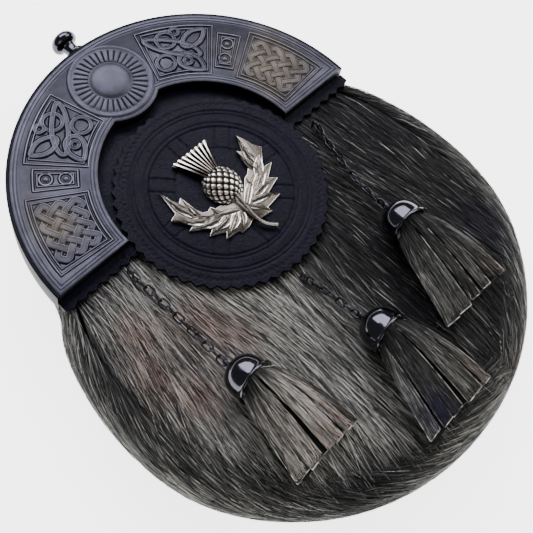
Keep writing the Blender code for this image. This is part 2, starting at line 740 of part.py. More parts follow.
def make_chain(name, top_x, top_y, bow, links, rim, axis):
    """Interlocked links from the staple to the loop on the cap, fused into one body."""
    first = Vector((top_x, top_y - LINK_HALF_LENGTH, CHAIN_Z))
    last = loop_centre(rim, axis) + axis * LINK_HALF_LENGTH
    half_length = ((last - first).length / (links - 1) + LINK_OVERLAP) / 2
    sag = Vector((bow * 2, 0, min(first.z, last.z) - (first.z + last.z) / 2))
    centres = []
    for k in range(links):
        t = k / (links - 1)
        centres.append(first.lerp(last, t) + sag * 2 * t * (1 - t))
    meshes = []
    for k, centre in enumerate(centres):
        before, after = centres[max(k - 1, 0)], centres[min(k + 1, links - 1)]
        along = (after - before).normalized()
        flat = along.cross(Vector((0, 0, 1))).normalized()
        upright = flat.cross(along)
        meshes.append(oval_link(centre, along, flat if k % 2 == 0 else upright, half_length))
    new_piece("chain_" + name, fuse(meshes), "black_nickel")


def make_staple(name, top_x, top_y):
    """The wire staple in the hide that the chain's first link hangs on."""
    foot = HIDE_FRONT + GAP
    rise = STAPLE_TOP - foot
    points = [(top_x, top_y + STAPLE_HALF_SPAN * across, foot + rise * share)
              for across, share in STAPLE_LINE]
    new_piece("chain_staple_" + name, wire(points, STAPLE_WIRE_R, sides=6), "black_nickel")


def make_cap(name, rim, axis):
    """The hollow bell that holds the tassel, with a loop on its apex."""
    bell = turned(CAP_PROFILE, CAP_SIDES)
    turn = axis.to_track_quat("Z", "X").to_matrix().to_4x4()
    bell.transform(Matrix.Translation(rim) @ turn)
    side = axis.cross(Vector((0, 0, 1))).normalized()
    upright = side.cross(axis)
    centre = loop_centre(rim, axis)
    ring = [centre + (axis * math.cos(a) + upright * math.sin(a)) * LOOP_R
            for a in (2 * math.pi * k / 7 for k in range(7))]
    new_piece("tassel_cap_" + name, fuse([bell, wire(ring, LOOP_WIRE_R, sides=5, closed=True)]),
              "black_nickel", 40)


def strip_mesh(start, end, width_start, width_end, lift):
    """One strip of hide: a flat bar that widens and lies down towards its end."""
    strip = bmesh.new()
    rings = []
    for k in range(3):
        t = k / 2
        centre = start.lerp(end, t) + Vector((0, 0, lift * math.sin(math.pi * t)))
        half = (width_start + (width_end - width_start) * t) / 2
        depth = STRIP_THICKNESS / 2
        corners = ((-half, depth), (half, depth), (half, -depth), (-half, -depth))
        rings.append([strip.verts.new(centre + Vector((x, 0, z))) for x, z in corners])
    for one, two in zip(rings, rings[1:]):
        for k in range(4):
            strip.faces.new((one[k], one[(k + 1) % 4], two[(k + 1) % 4], two[k]))
    strip.faces.new(rings[0])
    strip.faces.new(rings[-1])
    mesh = bpy.data.meshes.new("strip")
    strip.to_mesh(mesh)
    strip.free()
    return tidy(mesh)


def make_tassel(name, rim, axis, end_y, left_x, right_x, slot):
    """Strips of hide fanned out of a round head that fills the cap."""
    head = turned(HEAD_PROFILE, 8)
    turn = axis.to_track_quat("Z", "X").to_matrix().to_4x4()
    head.transform(Matrix.Translation(rim) @ turn)
    side = axis.cross(Vector((0, 0, 1))).normalized()
    pieces = [head]
    for k in range(STRIPS):
        across = 2 * k / (STRIPS - 1) - 1
        layer = k % 2
        start = rim - axis * 1.5 + side * across * (HEAD_R - 2.2)
        start.z = rim.z + (2.6 if layer else -1.6)
        end_x = (left_x + right_x) / 2 + across * ((right_x - left_x) - STRIP_WIDTH) / 2
        end = Vector((end_x, end_y + 0.5 * abs(across), 1.6 if layer else -0.4))
        pieces.append(strip_mesh(start, end, 3.4, STRIP_WIDTH + 0.01 * k, 0.8 + 0.05 * k))
    new_piece("tassel_" + name, fuse(pieces), slot)


def make_tassels():
    """Staple, chain, cap and tassel at each of the three places."""
    for row in TASSELS:
        name, top_x, top_y, bow, links, rim_x, rim_y, heading, end_y, left_x, right_x, slot = row
        rim, axis = cap_frame(rim_x, rim_y, heading)
        make_staple(name, top_x, top_y)
        make_chain(name, top_x, top_y, bow, links, rim, axis)
        make_cap(name, rim, axis)
        make_tassel(name, rim, axis, end_y, left_x, right_x, slot)


clear_scene()
PARTS = make_collection("sporran")
SCRATCH = make_collection("scratch")
make_cantle()
make_knob()
make_apron()
make_roundel()
make_badge()
make_gusset()
make_fur_front()
make_back_panel()
make_belt_loops()
make_closing_tab()
make_stud()
make_tassels()
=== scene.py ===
"""Looks of a dress sporran: cast cantle, tooled leather, thistle badge, fur and chained tassels.

Shapes are drawn in millimetres about the centre of the leather roundel's face, as in the part's
source, and finish_piece turns them into metres in the frame.
"""
import logging
import math
from dataclasses import dataclass
from enum import Enum
from typing import Callable, Iterable, Sequence

import bmesh
import bpy
import numpy as np
from bmesh.types import BMEdge, BMesh, BMFace, BMVert
from bpy.types import Material, Mesh, Node, NodeSocket, NodeTree, Object
from mathutils import Matrix, Vector, kdtree, noise
from mathutils.bvhtree import BVHTree


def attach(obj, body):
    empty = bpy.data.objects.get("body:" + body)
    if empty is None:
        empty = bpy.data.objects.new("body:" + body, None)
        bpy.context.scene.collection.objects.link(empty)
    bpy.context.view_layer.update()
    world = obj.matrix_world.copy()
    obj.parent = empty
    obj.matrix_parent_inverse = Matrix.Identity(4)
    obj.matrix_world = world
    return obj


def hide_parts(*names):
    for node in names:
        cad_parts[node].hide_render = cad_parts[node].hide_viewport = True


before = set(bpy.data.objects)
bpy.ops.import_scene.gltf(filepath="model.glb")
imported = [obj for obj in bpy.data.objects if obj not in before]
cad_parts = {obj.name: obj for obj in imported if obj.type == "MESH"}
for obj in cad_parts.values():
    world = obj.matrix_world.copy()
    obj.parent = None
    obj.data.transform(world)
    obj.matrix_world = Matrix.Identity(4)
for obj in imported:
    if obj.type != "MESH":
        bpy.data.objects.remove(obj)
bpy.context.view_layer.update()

LOG = logging.getLogger("sporran")
MM = 0.001
# The roundel's centre in the frame, in millimetres along Y and Z.
ROUNDEL_Y = 20.5
ROUNDEL_Z = 30.0
TO_FRAME = Matrix.Scale(MM, 4) @ Matrix.Translation((0.0, ROUNDEL_Y, ROUNDEL_Z))
# How far the arch's centre lies above the roundel's.
ARCH_Y = 8.0
# The lowest that a hair lies, just above the floor.
HAIR_FLOOR = -29.7
# How a tassel spreads on its way down: below one, most of it close to the cap.
FAN = 0.6
BODY = "root"
SEED = 20
UP = Vector((0, 0, 1))
FULL_TURN = 2 * math.pi

Point = tuple[float, float]
Place = tuple[float, float, float]
Outline = tuple[Point, ...]
Points = list[tuple[float, ...]]
Rows = tuple[tuple[float, ...], ...]
Array = np.ndarray
# What a coat asks about places: a number or a direction for each, and whether hair grows there.
Reading = Callable[[Array], Array]
Sieve = Callable[[Array, Array], Array]


class Slot(Enum):
    """The record's material slots."""

    NICKEL = "antique_nickel"
    SILVER = "silver"
    BLACK_NICKEL = "black_nickel"
    LEATHER = "leather"
    FUR = "fur"
    PALE = "tassel_pale"
    DARK = "tassel_dark"


# ---- finishes

# The sockets of a Mix node on colours: its share, its two colours and its result.
SHARE, FIRST, SECOND, MIXED = 0, 6, 7, 2


def linear(code: str) -> tuple[float, float, float, float]:
    """Turn an sRGB hex colour into linear values.

    Args:
        code: six hex digits after a hash.

    Returns:
        Red, green, blue and an alpha of one.
    """
    values = [int(code[k:k + 2], 16) / 255 for k in (1, 3, 5)]
    red, green, blue = [v / 12.92 if v <= 0.04045 else ((v + 0.055) / 1.055) ** 2.4
                        for v in values]
    return (red, green, blue, 1.0)


def feed(tree: NodeTree, node: Node, inputs: dict) -> None:
    """Give a node's inputs their values and links.

    Args:
        tree: the node's tree.
        node: the node.
        inputs: a value, a hex colour or an output socket for each input, by name or number.
    """
    for key, value in inputs.items():
        if isinstance(value, NodeSocket):
            tree.links.new(value, node.inputs[key])
        else:
            node.inputs[key].default_value = linear(value) if isinstance(value, str) else value


def add_node(tree: NodeTree, kind: str, inputs: dict | None = None, out: str | int = 0,
             **settings: object) -> NodeSocket:
    """Add a node with its settings, values and links.

    Args:
        tree: the material's node tree.
        kind: the node's type, without the ShaderNode in front.
        inputs: as for feed.
        out: the output that is wanted, by name or number.
        settings: the node's own properties.

    Returns:
        The new node's output.
    """
    node = tree.nodes.new("ShaderNode" + kind)
    for key, value in settings.items():
        setattr(node, key, value)
    feed(tree, node, inputs or {})
    return node.outputs[out]


@dataclass(frozen=True)
class Finish:
    """A surface; each kind says what its shader takes. Its sizes are in millimetres."""

    name: str

    def surface(self, tree: NodeTree) -> dict:
        """What the shader takes, which each kind of finish gives.

        Args:
            tree: the material's node tree, to which its patterns are added.

        Returns:
            A value, a hex colour or an output socket for each of the shader's inputs.
        """
        raise NotImplementedError

    def build(self) -> Material:
        """Make the material.

        Returns:
            A new material of this finish.
        """
        material = bpy.data.materials.new(self.name)
        material.use_nodes = True
        tree = material.node_tree
        feed(tree, tree.nodes["Principled BSDF"], self.surface(tree))
        return material


@dataclass(frozen=True)
class CastMetal(Finish):
    """Cast and plated metal: oxide stays in the recesses, the raised lines are rubbed bright, and
    the relief attribute also carries painted light and shade.
    """

    recess: str
    ground: str
    ridge: str
    warm: str
    roughness: float
    grain: float = 0.35
    stain: float = 9.0
    bump: float = 0.08

    def surface(self, tree: NodeTree) -> dict:
        """Colour by the "relief" and "warm" attributes, under the stains and grain of a casting."""
        place = add_node(tree, "TexCoord", out="Object")
        relief, warmth = [add_node(tree, "Attribute", out="Fac", attribute_name=name)
                          for name in ("relief", "warm")]
        stains = add_node(tree, "TexNoise", {"Vector": place, "Scale": 1 / (self.stain * MM),
            "Detail": 5.0, "Roughness": 0.65})
        grains = add_node(tree, "TexNoise", {"Vector": place, "Scale": 1 / (self.grain * MM),
            "Detail": 3.0, "Roughness": 0.6})
        low = add_node(tree, "MapRange", {"Value": relief, "From Max": 0.45},
                       interpolation_type="SMOOTHSTEP")
        high = add_node(tree, "MapRange", {"Value": relief, "From Min": 0.5, "From Max": 0.95},
                        interpolation_type="SMOOTHSTEP")
        colour = self.recess
        for share, over in ((low, self.ground), (high, self.ridge), (warmth, self.warm)):
            colour = add_node(tree, "Mix", {SHARE: share, FIRST: colour, SECOND: over}, MIXED,
                              data_type="RGBA")
        shade = add_node(tree, "MapRange", {"Value": stains, "From Min": 0.35, "From Max": 0.65,
            "To Min": 0.76, "To Max": 1.16})
        colour = add_node(tree, "Mix", {SHARE: 1.0, FIRST: colour, SECOND: shade}, MIXED,
                          data_type="RGBA", blend_type="MULTIPLY")
        gloss = add_node(tree, "MapRange", {"Value": grains, "From Min": 0.3, "From Max": 0.7,
            "To Min": self.roughness - 0.06,
            "To Max": self.roughness + 0.1})
        bump = add_node(tree, "Bump", {"Height": grains, "Strength": 0.6,
                                       "Distance": self.bump * MM})
        return {"Base Color": colour, "Roughness": gloss, "Normal": bump, "Metallic": 1.0}


@dataclass(frozen=True)
class PolishedPlate(Finish):
    """Black nickel plate: polished, almost a dark mirror, with a few faint rubs."""

    name: str = "polished_black_nickel"
    colour: str = "#4a4a50"
    roughness: float = 0.09
    rub: float = 1.5

    def surface(self, tree: NodeTree) -> dict:
        """A mirror that is duller where it is rubbed."""
        place = add_node(tree, "TexCoord", out="Object")
        rubs = add_node(tree, "TexNoise", {"Vector": place, "Scale": 1 / (self.rub * MM),
            "Detail": 4.0})
        gloss = add_node(tree, "MapRange", {"Value": rubs, "From Min": 0.4, "From Max": 0.75,
            "To Min": self.roughness,
            "To Max": self.roughness + 0.12})
        return {"Base Color": self.colour, "Roughness": gloss, "Metallic": 1.0}


@dataclass(frozen=True)
class GrainedLeather(Finish):
    """Dyed and waxed black leather: a fine pebbled grain with a cool soft sheen."""

    dark: str = "#04040a"
    light: str = "#0e0e22"
    sheen: str = "#8c8cb8"
    grain: float = 0.9
    crease: float = 2.6
    depth: float = 0.18
    roughness: float = 0.52

    def surface(self, tree: NodeTree) -> dict:
        """Pebbles and creases, with the dye paler on their tops."""
        place = add_node(tree, "TexCoord", out="Object")
        pebbles = add_node(tree, "TexVoronoi", {"Vector": place, "Scale": 1 / (self.grain * MM),
            "Randomness": 1.0}, feature="SMOOTH_F1")
        creases = add_node(tree, "TexNoise", {"Vector": place, "Scale": 1 / (self.crease * MM),
            "Detail": 6.0, "Roughness": 0.7})
        height = add_node(tree, "Math", {0: pebbles, 1: creases}, operation="ADD")
        bump = add_node(tree, "Bump", {"Height": height, "Strength": 0.9,
                                       "Distance": self.depth * MM})
        tone = add_node(tree, "MapRange", {"Value": creases, "From Min": 0.3, "From Max": 0.72})
        colour = add_node(tree, "Mix", {SHARE: tone, FIRST: self.dark, SECOND: self.light},
                          MIXED, data_type="RGBA")
        gloss = add_node(tree, "MapRange", {"Value": pebbles, "To Min": self.roughness - 0.08,
            "To Max": self.roughness + 0.14})
        return {"Base Color": colour, "Roughness": gloss, "Normal": bump,
                "Specular IOR Level": 0.11, "Sheen Weight": 0.015, "Sheen Tint": self.sheen}


@dataclass(frozen=True)
class SealHair(Finish):
    """Short haired hide: each hair runs from a root painted dark, as shade among the hairs, to a
    paler tip, with a silky gloss.
    """

    grey: tuple[str, str] = ("#0c0c0e", "#c9c8be")
    brown: tuple[str, str] = ("#120b09", "#9a6a58")
    violet: tuple[str, str] = ("#0b0a18", "#3f2fa0")

    def surface(self, tree: NodeTree) -> dict:
        """Colour by each hair's tone, warmth and violet, with painted shade towards its root."""
        tone, warmth, bloom, along = [
            add_node(tree, "Attribute", out="Fac", attribute_name=name)
            for name in ("tone", "warm", "violet", "along")]
        # Painted shade: a hair's colour falls to 0.45 at its root, as the shade among the hairs.
        root = add_node(tree, "MapRange", {"Value": along, "From Max": 0.55, "To Min": 0.45})
        shaded = add_node(tree, "Math", {0: tone, 1: root}, operation="MULTIPLY", use_clamp=True)
        level = add_node(tree, "Math", {0: shaded, 1: 2.0}, operation="POWER")
        colour, brown, violet = [
            add_node(tree, "Mix", {SHARE: level, FIRST: dark, SECOND: light}, MIXED,
                     data_type="RGBA")
            for dark, light in (self.grey, self.brown, self.violet)]
        for share, over in ((warmth, brown), (bloom, violet)):
            colour = add_node(tree, "Mix", {SHARE: share, FIRST: colour, SECOND: over}, MIXED,
                              data_type="RGBA")
        return {"Base Color": colour, "Roughness": 0.5, "Specular IOR Level": 0.22}


@dataclass(frozen=True)
class CutHide(Finish):
    """The raw cut edge and flesh side of a hide: matt, off-white, fibrous and lapped by hairs."""

    name: str = "cut_hide_edge"
    light: str = "#e6e2dc"
    shade: str = "#a39d96"
    covered: str = "#37352f"
    fibre: float = 0.8
    lap: float = 3.4

    def surface(self, tree: NodeTree) -> dict:
        """Pale fibres, dark where hairs lie over them."""
        place = add_node(tree, "TexCoord", out="Object")
        fibres = add_node(tree, "TexNoise", {"Vector": place, "Scale": 1 / (self.fibre * MM),
            "Detail": 4.0})
        flesh = add_node(tree, "Mix", {SHARE: fibres, FIRST: self.shade, SECOND: self.light},
                         MIXED, data_type="RGBA")
        lapped = add_node(tree, "TexNoise", {"Vector": place, "Scale": 1 / (self.lap * MM),
            "Detail": 3.0})
        bare = add_node(tree, "MapRange", {"Value": lapped, "From Min": 0.38, "From Max": 0.54})
        colour = add_node(tree, "Mix", {SHARE: bare, FIRST: self.covered, SECOND: flesh}, MIXED,
                          data_type="RGBA")
        bump = add_node(tree, "Bump", {"Height": fibres, "Strength": 0.7, "Distance": 0.1 * MM})
        return {"Base Color": colour, "Roughness": 0.85, "Normal": bump}


@dataclass(frozen=True)
class WaxedThread(Finish):
    """Black waxed linen thread, twisted, a little glossier than the leather it is sewn in."""

    name: str = "waxed_thread"
    colour: str = "#1b1b20"
    twist: float = 0.5

    def surface(self, tree: NodeTree) -> dict:
        """Plain black with the turns of the twist."""
        place = add_node(tree, "TexCoord", out="Object")
        turns = add_node(tree, "TexWave", {"Vector": place, "Scale": 1 / (self.twist * MM),
            "Distortion": 1.5}, "Fac", bands_direction="DIAGONAL")
        bump = add_node(tree, "Bump", {"Height": turns, "Strength": 0.5, "Distance": 0.08 * MM})
        return {"Base Color": self.colour, "Roughness": 0.45, "Normal": bump}


@dataclass(frozen=True)
class StudioPaper(Finish):
    """A matt white paper sweep under the object, lit from within so that it stays pale."""

    name: str = "studio_paper"
    colour: str = "#f4f4f4"
    glow: float = 3.6
    tooth: float = 2.0

    def surface(self, tree: NodeTree) -> dict:
        """White with a faint tooth."""
        place = add_node(tree, "TexCoord", out="Object")
        rough = add_node(tree, "TexNoise", {"Vector": place, "Scale": 1 / (self.tooth * MM)})
        bump = add_node(tree, "Bump", {"Height": rough, "Strength": 0.1, "Distance": 0.05 * MM})
        return {"Base Color": self.colour, "Roughness": 0.9, "Normal": bump,
                "Emission Color": "#ffffff", "Emission Strength": self.glow}


# ---- mesh tools

def to_mesh(shape: BMesh) -> Mesh:
    """Turn a bmesh into a mesh and free it.

    Args:
        shape: the bmesh.

    Returns:
        The new mesh.
    """
    mesh = bpy.data.meshes.new("part")
    shape.to_mesh(mesh)
    shape.free()
    return mesh


def gathered(meshes: Iterable[Mesh]) -> BMesh:
    """Gather meshes in one bmesh.

    Args:
        meshes: the meshes, which stay.

    Returns:
        A new bmesh.
    """
    shape = bmesh.new()
    for mesh in meshes:
        shape.from_mesh(mesh)
    return shape


def joined(meshes: Sequence[Mesh]) -> Mesh:
    """Join meshes in one.

    Args:
        meshes: the meshes, which are removed.

    Returns:
        The new mesh.
    """
    mesh = to_mesh(gathered(meshes))
    for part in meshes:
        bpy.data.meshes.remove(part)
    return mesh


def of_kind(items: Iterable[object], kind: type) -> list:
    """The vertices, the edges or the faces among an operator's results."""
    return [item for item in items if isinstance(item, kind)]


def clean(shape: BMesh) -> BMesh:
    """Merge a shape's doubles and turn its faces out.

    Args:
        shape: the bmesh, in millimetres.

    Returns:
        The same bmesh.
    """
    bmesh.ops.remove_doubles(shape, verts=shape.verts, dist=1e-4)
    bmesh.ops.recalc_face_normals(shape, faces=shape.faces)
    return shape


def node_copy(name: str) -> BMesh:
    """A CAD node's shape, merged into quads where it can be and drawn in roundel millimetres.

    Args:
        name: the node.

    Returns:
        A new bmesh.
    """
    shape = gathered([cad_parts[name].data])
    shape.transform(TO_FRAME.inverted())
    bmesh.ops.remove_doubles(shape, verts=shape.verts, dist=1e-3)
    bmesh.ops.join_triangles(shape, faces=shape.faces, angle_face_threshold=math.radians(8),
                             angle_shape_threshold=math.radians(60))
    return shape


def new_object(name: str, data: bpy.types.ID) -> Object:
    """Add an object to the scene.

    Args:
        name: its name.
        data: its mesh, curve, light or camera.

    Returns:
        The new object.
    """
    thing = bpy.data.objects.new(name, data)
    bpy.context.scene.collection.objects.link(thing)
    return thing


def finish_piece(name: str, mesh: Mesh, materials: Sequence[Material],
                 replaces: Sequence[str] = (), smooth: float = 35.0) -> Object:
    """Put a finished mesh in the frame as one piece.

    Args:
        name: the piece's name.
        mesh: its shape in roundel millimetres.
        materials: what it is made of; faces keep their material index.
        replaces: the CAD nodes that it stands for.
        smooth: faces are smooth up to this angle in degrees.

    Returns:
        The new object.
    """
    mesh.transform(TO_FRAME)
    mesh.name = name
    mesh.shade_smooth()
    mesh.set_sharp_from_angle(angle=math.radians(smooth))
    for material in materials:
        mesh.materials.append(material)
    piece = new_object(name, mesh)
    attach(piece, BODY)
    if replaces:
        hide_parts(*replaces)
    return piece


def evaluated(holder: Object) -> Mesh:
    """Apply an object's modifiers or curve settings.

    Args:
        holder: the object, which is removed.

    Returns:
        The mesh that it gives.
    """
    bpy.context.view_layer.update()
    depsgraph = bpy.context.evaluated_depsgraph_get()
    mesh = bpy.data.meshes.new_from_object(holder.evaluated_get(depsgraph))
    bpy.data.objects.remove(holder, do_unlink=True)
    return mesh


def subdivided(shape: BMesh) -> Mesh:
    """Smooth a shape by two levels of subdivision.

    Args:
        shape: the bmesh, which is freed.

    Returns:
        The smooth mesh.
    """
    holder = new_object("smoothing", to_mesh(shape))
    modifier = holder.modifiers.new("smoothing", "SUBSURF")
    modifier.levels = modifier.render_levels = 2
    return evaluated(holder)


def sweep(points: Points, section: Sequence[Point], closed: bool = False,
          taper: Sequence[float] = (), smooth: int = 0) -> Mesh:
    """Draw a section along a line, with the section's second axis up.

    Args:
        points: the line.
        section: the closed cross-section, sideways and up.
        closed: whether the line meets itself.
        taper: the section's size at each point, where it changes.
        smooth: steps between two points of a smooth line, or none for straight ones.

    Returns:
        A closed mesh.
    """
    outline = bpy.data.curves.new("section", "CURVE")
    ring = outline.splines.new("POLY")
    ring.points.add(len(section) - 1)
    for spot, (across, up) in zip(ring.points, section):
        spot.co = (across, up, 0, 1)
    ring.use_cyclic_u = True
    profile = new_object("section", outline)
    line = bpy.data.curves.new("line", "CURVE")
    line.dimensions = "3D"
    line.twist_mode = "Z_UP"
    line.bevel_mode = "OBJECT"
    line.bevel_object = profile
    line.use_fill_caps = not closed
    line.resolution_u = max(smooth, 1)
    spline = line.splines.new("NURBS" if smooth else "POLY")
    spline.points.add(len(points) - 1)
    for spot, place, size in zip(spline.points, points, taper or [1.0] * len(points)):
        spot.co = (*place, 1)
        spot.radius = size
    spline.use_cyclic_u = closed
    if smooth:
        spline.order_u = 4
        spline.use_endpoint_u = not closed
    mesh = evaluated(new_object("line", line))
    bpy.data.objects.remove(profile, do_unlink=True)
    for curve in (line, outline):
        bpy.data.curves.remove(curve)
    shape = clean(gathered([mesh]))
    bpy.data.meshes.remove(mesh)
    return to_mesh(shape)


def round_section(across: float, up: float, sides: int) -> list[Point]:
    """A round section for a sweep, by its half width, its half height and its sides."""
    angles = (FULL_TURN * k / sides for k in range(sides))
    return [(across * math.cos(angle), up * math.sin(angle)) for angle in angles]


def spun(profile: Sequence[Point], steps: int, axis: Matrix = Matrix()) -> BMesh:
    """Turn a profile about +Z.

    Args:
        profile: radius and height from the top down its outer side; it starts and ends on the axis.
        steps: sides of the turn.
        axis: where the turned shape goes.

    Returns:
        A closed bmesh.
    """
    shape = bmesh.new()
    verts = [shape.verts.new((radius, 0, height)) for radius, height in profile]
    edges = [shape.edges.new(pair) for pair in zip(verts, verts[1:])]
    bmesh.ops.spin(shape, geom=verts + edges, cent=(0, 0, 0), axis=UP, angle=FULL_TURN,
                   steps=steps, use_merge=True)
    clean(shape)
    shape.transform(axis)
    return shape


def wire_ring(radius: float, wire: float, steps: int) -> BMesh:
    """A ring of round wire about +Z.

    Args:
        radius: from the ring's centre to the wire's.
        wire: the wire's radius.
        steps: sides of the ring.

    Returns:
        A closed bmesh.
    """
    shape = bmesh.new()
    seat = Matrix.Translation((radius, 0, 0)) @ Matrix.Rotation(math.pi / 2, 4, "X")
    bmesh.ops.create_circle(shape, segments=8, radius=wire, matrix=seat)
    bmesh.ops.spin(shape, geom=shape.verts[:] + shape.edges[:], cent=(0, 0, 0), axis=UP,
                   angle=FULL_TURN, steps=steps, use_merge=True)
    return clean(shape)


def raised_sheet(outline: Sequence[Point], back: float, height: float, rounding: float,
                 segments: int) -> BMesh:
    """A flat sheet with a rounded front edge.

    Args:
        outline: its outline.
        back: how high its back lies.
        height: from its back to its front.
        rounding: how far the edge is rounded.
        segments: steps of the rounding.

    Returns:
        A closed bmesh.
    """
    shape = bmesh.new()
    face = shape.faces.new([shape.verts.new((x, y, back)) for x, y in outline])
    face.normal_update()
    if face.normal.z < 0:
        face.normal_flip()
    lifted = bmesh.ops.extrude_face_region(shape, geom=[face], use_keep_orig=True)["geom"]
    bmesh.ops.translate(shape, vec=(0, 0, height), verts=of_kind(lifted, BMVert))
    top = of_kind(lifted, BMFace)[0]
    bmesh.ops.bevel(shape, geom=top.edges[:], offset=rounding, segments=segments, profile=0.5,
                    affect="EDGES", material=-1, clamp_overlap=True)
    return clean(shape)


def footed(shape: BMesh, foot: float, relief: Sequence[float], low: float) -> Mesh:
    """Close a bent sheet with a wall down from its border and a flat back.

    Args:
        shape: the sheet, which is freed.
        foot: the height that the wall goes down to.
        relief: how far each vertex of the sheet stands out, for the material to read.
        low: the same for the wall's foot.

    Returns:
        A closed mesh.
    """
    border = [edge for edge in shape.edges if edge.is_boundary]
    for vert in of_kind(bmesh.ops.extrude_edge_only(shape, edges=border)["geom"], BMVert):
        vert.co.z = foot
    bmesh.ops.edgeloop_fill(shape, edges=[edge for edge in shape.edges if edge.is_boundary])
    bmesh.ops.recalc_face_normals(shape, faces=shape.faces)
    mesh = to_mesh(shape)
    store(mesh, "relief", [*relief, *[low] * (len(mesh.vertices) - len(relief))])
    return mesh


def arc(radius: float, start: float, end: float, steps: int, centre: Point = (0.0, ARCH_Y)
        ) -> list[Point]:
    """Points on an arc.

    Args:
        radius: in millimetres.
        start: angle from +X in degrees.
        end: the other angle.
        steps: parts between them.
        centre: the arc's centre.

    Returns:
        Steps and one points.
    """
    angles = (math.radians(start + (end - start) * k / steps) for k in range(steps + 1))
    return [(centre[0] + radius * math.cos(a), centre[1] + radius * math.sin(a)) for a in angles]


def turned_to(place: Sequence[float], heading: Vector, ahead: str, up: str) -> Matrix:
    """The matrix that puts a shape at a place, with its axis ahead along a heading."""
    return Matrix.Translation(place) @ heading.to_track_quat(ahead, up).to_matrix().to_4x4()


def standing(place: Vector, right: Vector, ahead: Vector) -> Matrix:
    """The matrix that puts a shape at a place, with its +X and +Y along two directions."""
    turn = Matrix((right, ahead, right.cross(ahead))).transposed()
    return Matrix.Translation(place) @ turn.to_4x4()


def unit(vectors: Array) -> Array:
    """Rows made one long."""
    return vectors / np.maximum(np.linalg.norm(vectors, axis=1, keepdims=True), 1e-9)


def places(mesh: Mesh) -> Array:
    """The vertices' places.

    Args:
        mesh: the mesh.

    Returns:
        Rows of x, y and z.
    """
    flat = np.empty(3 * len(mesh.vertices), dtype=np.float32)
    mesh.vertices.foreach_get("co", flat)
    return flat.reshape(-1, 3)


def store(mesh: Mesh, name: str, values: Sequence[float] | float) -> None:
    """Keep one number for each vertex, for the material to read.

    Args:
        mesh: the mesh.
        name: the attribute's name.
        values: a number for each vertex, or one for all.
    """
    layer = mesh.attributes.get(name) or mesh.attributes.new(name, "FLOAT", "POINT")
    data = np.broadcast_to(np.asarray(values, dtype=np.float32), (len(mesh.vertices),))
    layer.data.foreach_set("value", np.ascontiguousarray(data))


def stored(mesh: Mesh, name: str) -> Array:
    """The numbers that the vertices keep.

    Args:
        mesh: the mesh.
        name: the attribute's name.

    Returns:
        A number for each vertex.
    """
    values = np.empty(len(mesh.vertices), dtype=np.float32)
    mesh.attributes[name].data.foreach_get("value", values)
    return values


def paint(mesh: Mesh, index: int) -> None:
    """Give all of a mesh's faces one of its piece's materials."""
    mesh.polygons.foreach_set("material_index", [index] * len(mesh.polygons))


# ---- cantle

def on_arch(radius: float, degrees: float) -> Point:
    """A place by its distance from the arch's centre and its angle up from the right."""
    return arc(radius, degrees, degrees, 1)[0]


def folded(value: float, size: float) -> float:
    """A value that runs on, turned back at nought and at a size, as light between mirrors."""
    value %= 2 * size
    return value if value <= size else 2 * size - value


@dataclass(frozen=True)
class Panel:
    """An ornament panel: angles up from the arch's right end, radii from its centre."""

    low: float
    high: float
    inner: float
    outer: float

    def place(self, across: float, along: float) -> Point:
        """A place in the panel from shares of its width and of its length."""
        return on_arch(self.inner + (self.outer - self.inner) * across,
                       self.low + (self.high - self.low) * along)

    def inset(self, by: float) -> "Panel":
        """The same panel, smaller by some millimetres on every side."""
        turn = math.degrees(by / ((self.inner + self.outer) / 2))
        return Panel(self.low + turn, self.high - turn, self.inner + by, self.outer - by)

    def line(self, steps: int = 12) -> Points:
        """The line round the panel."""
        return (arc(self.outer, self.low, self.high, steps)
                + arc(self.inner, self.high, self.low, steps))


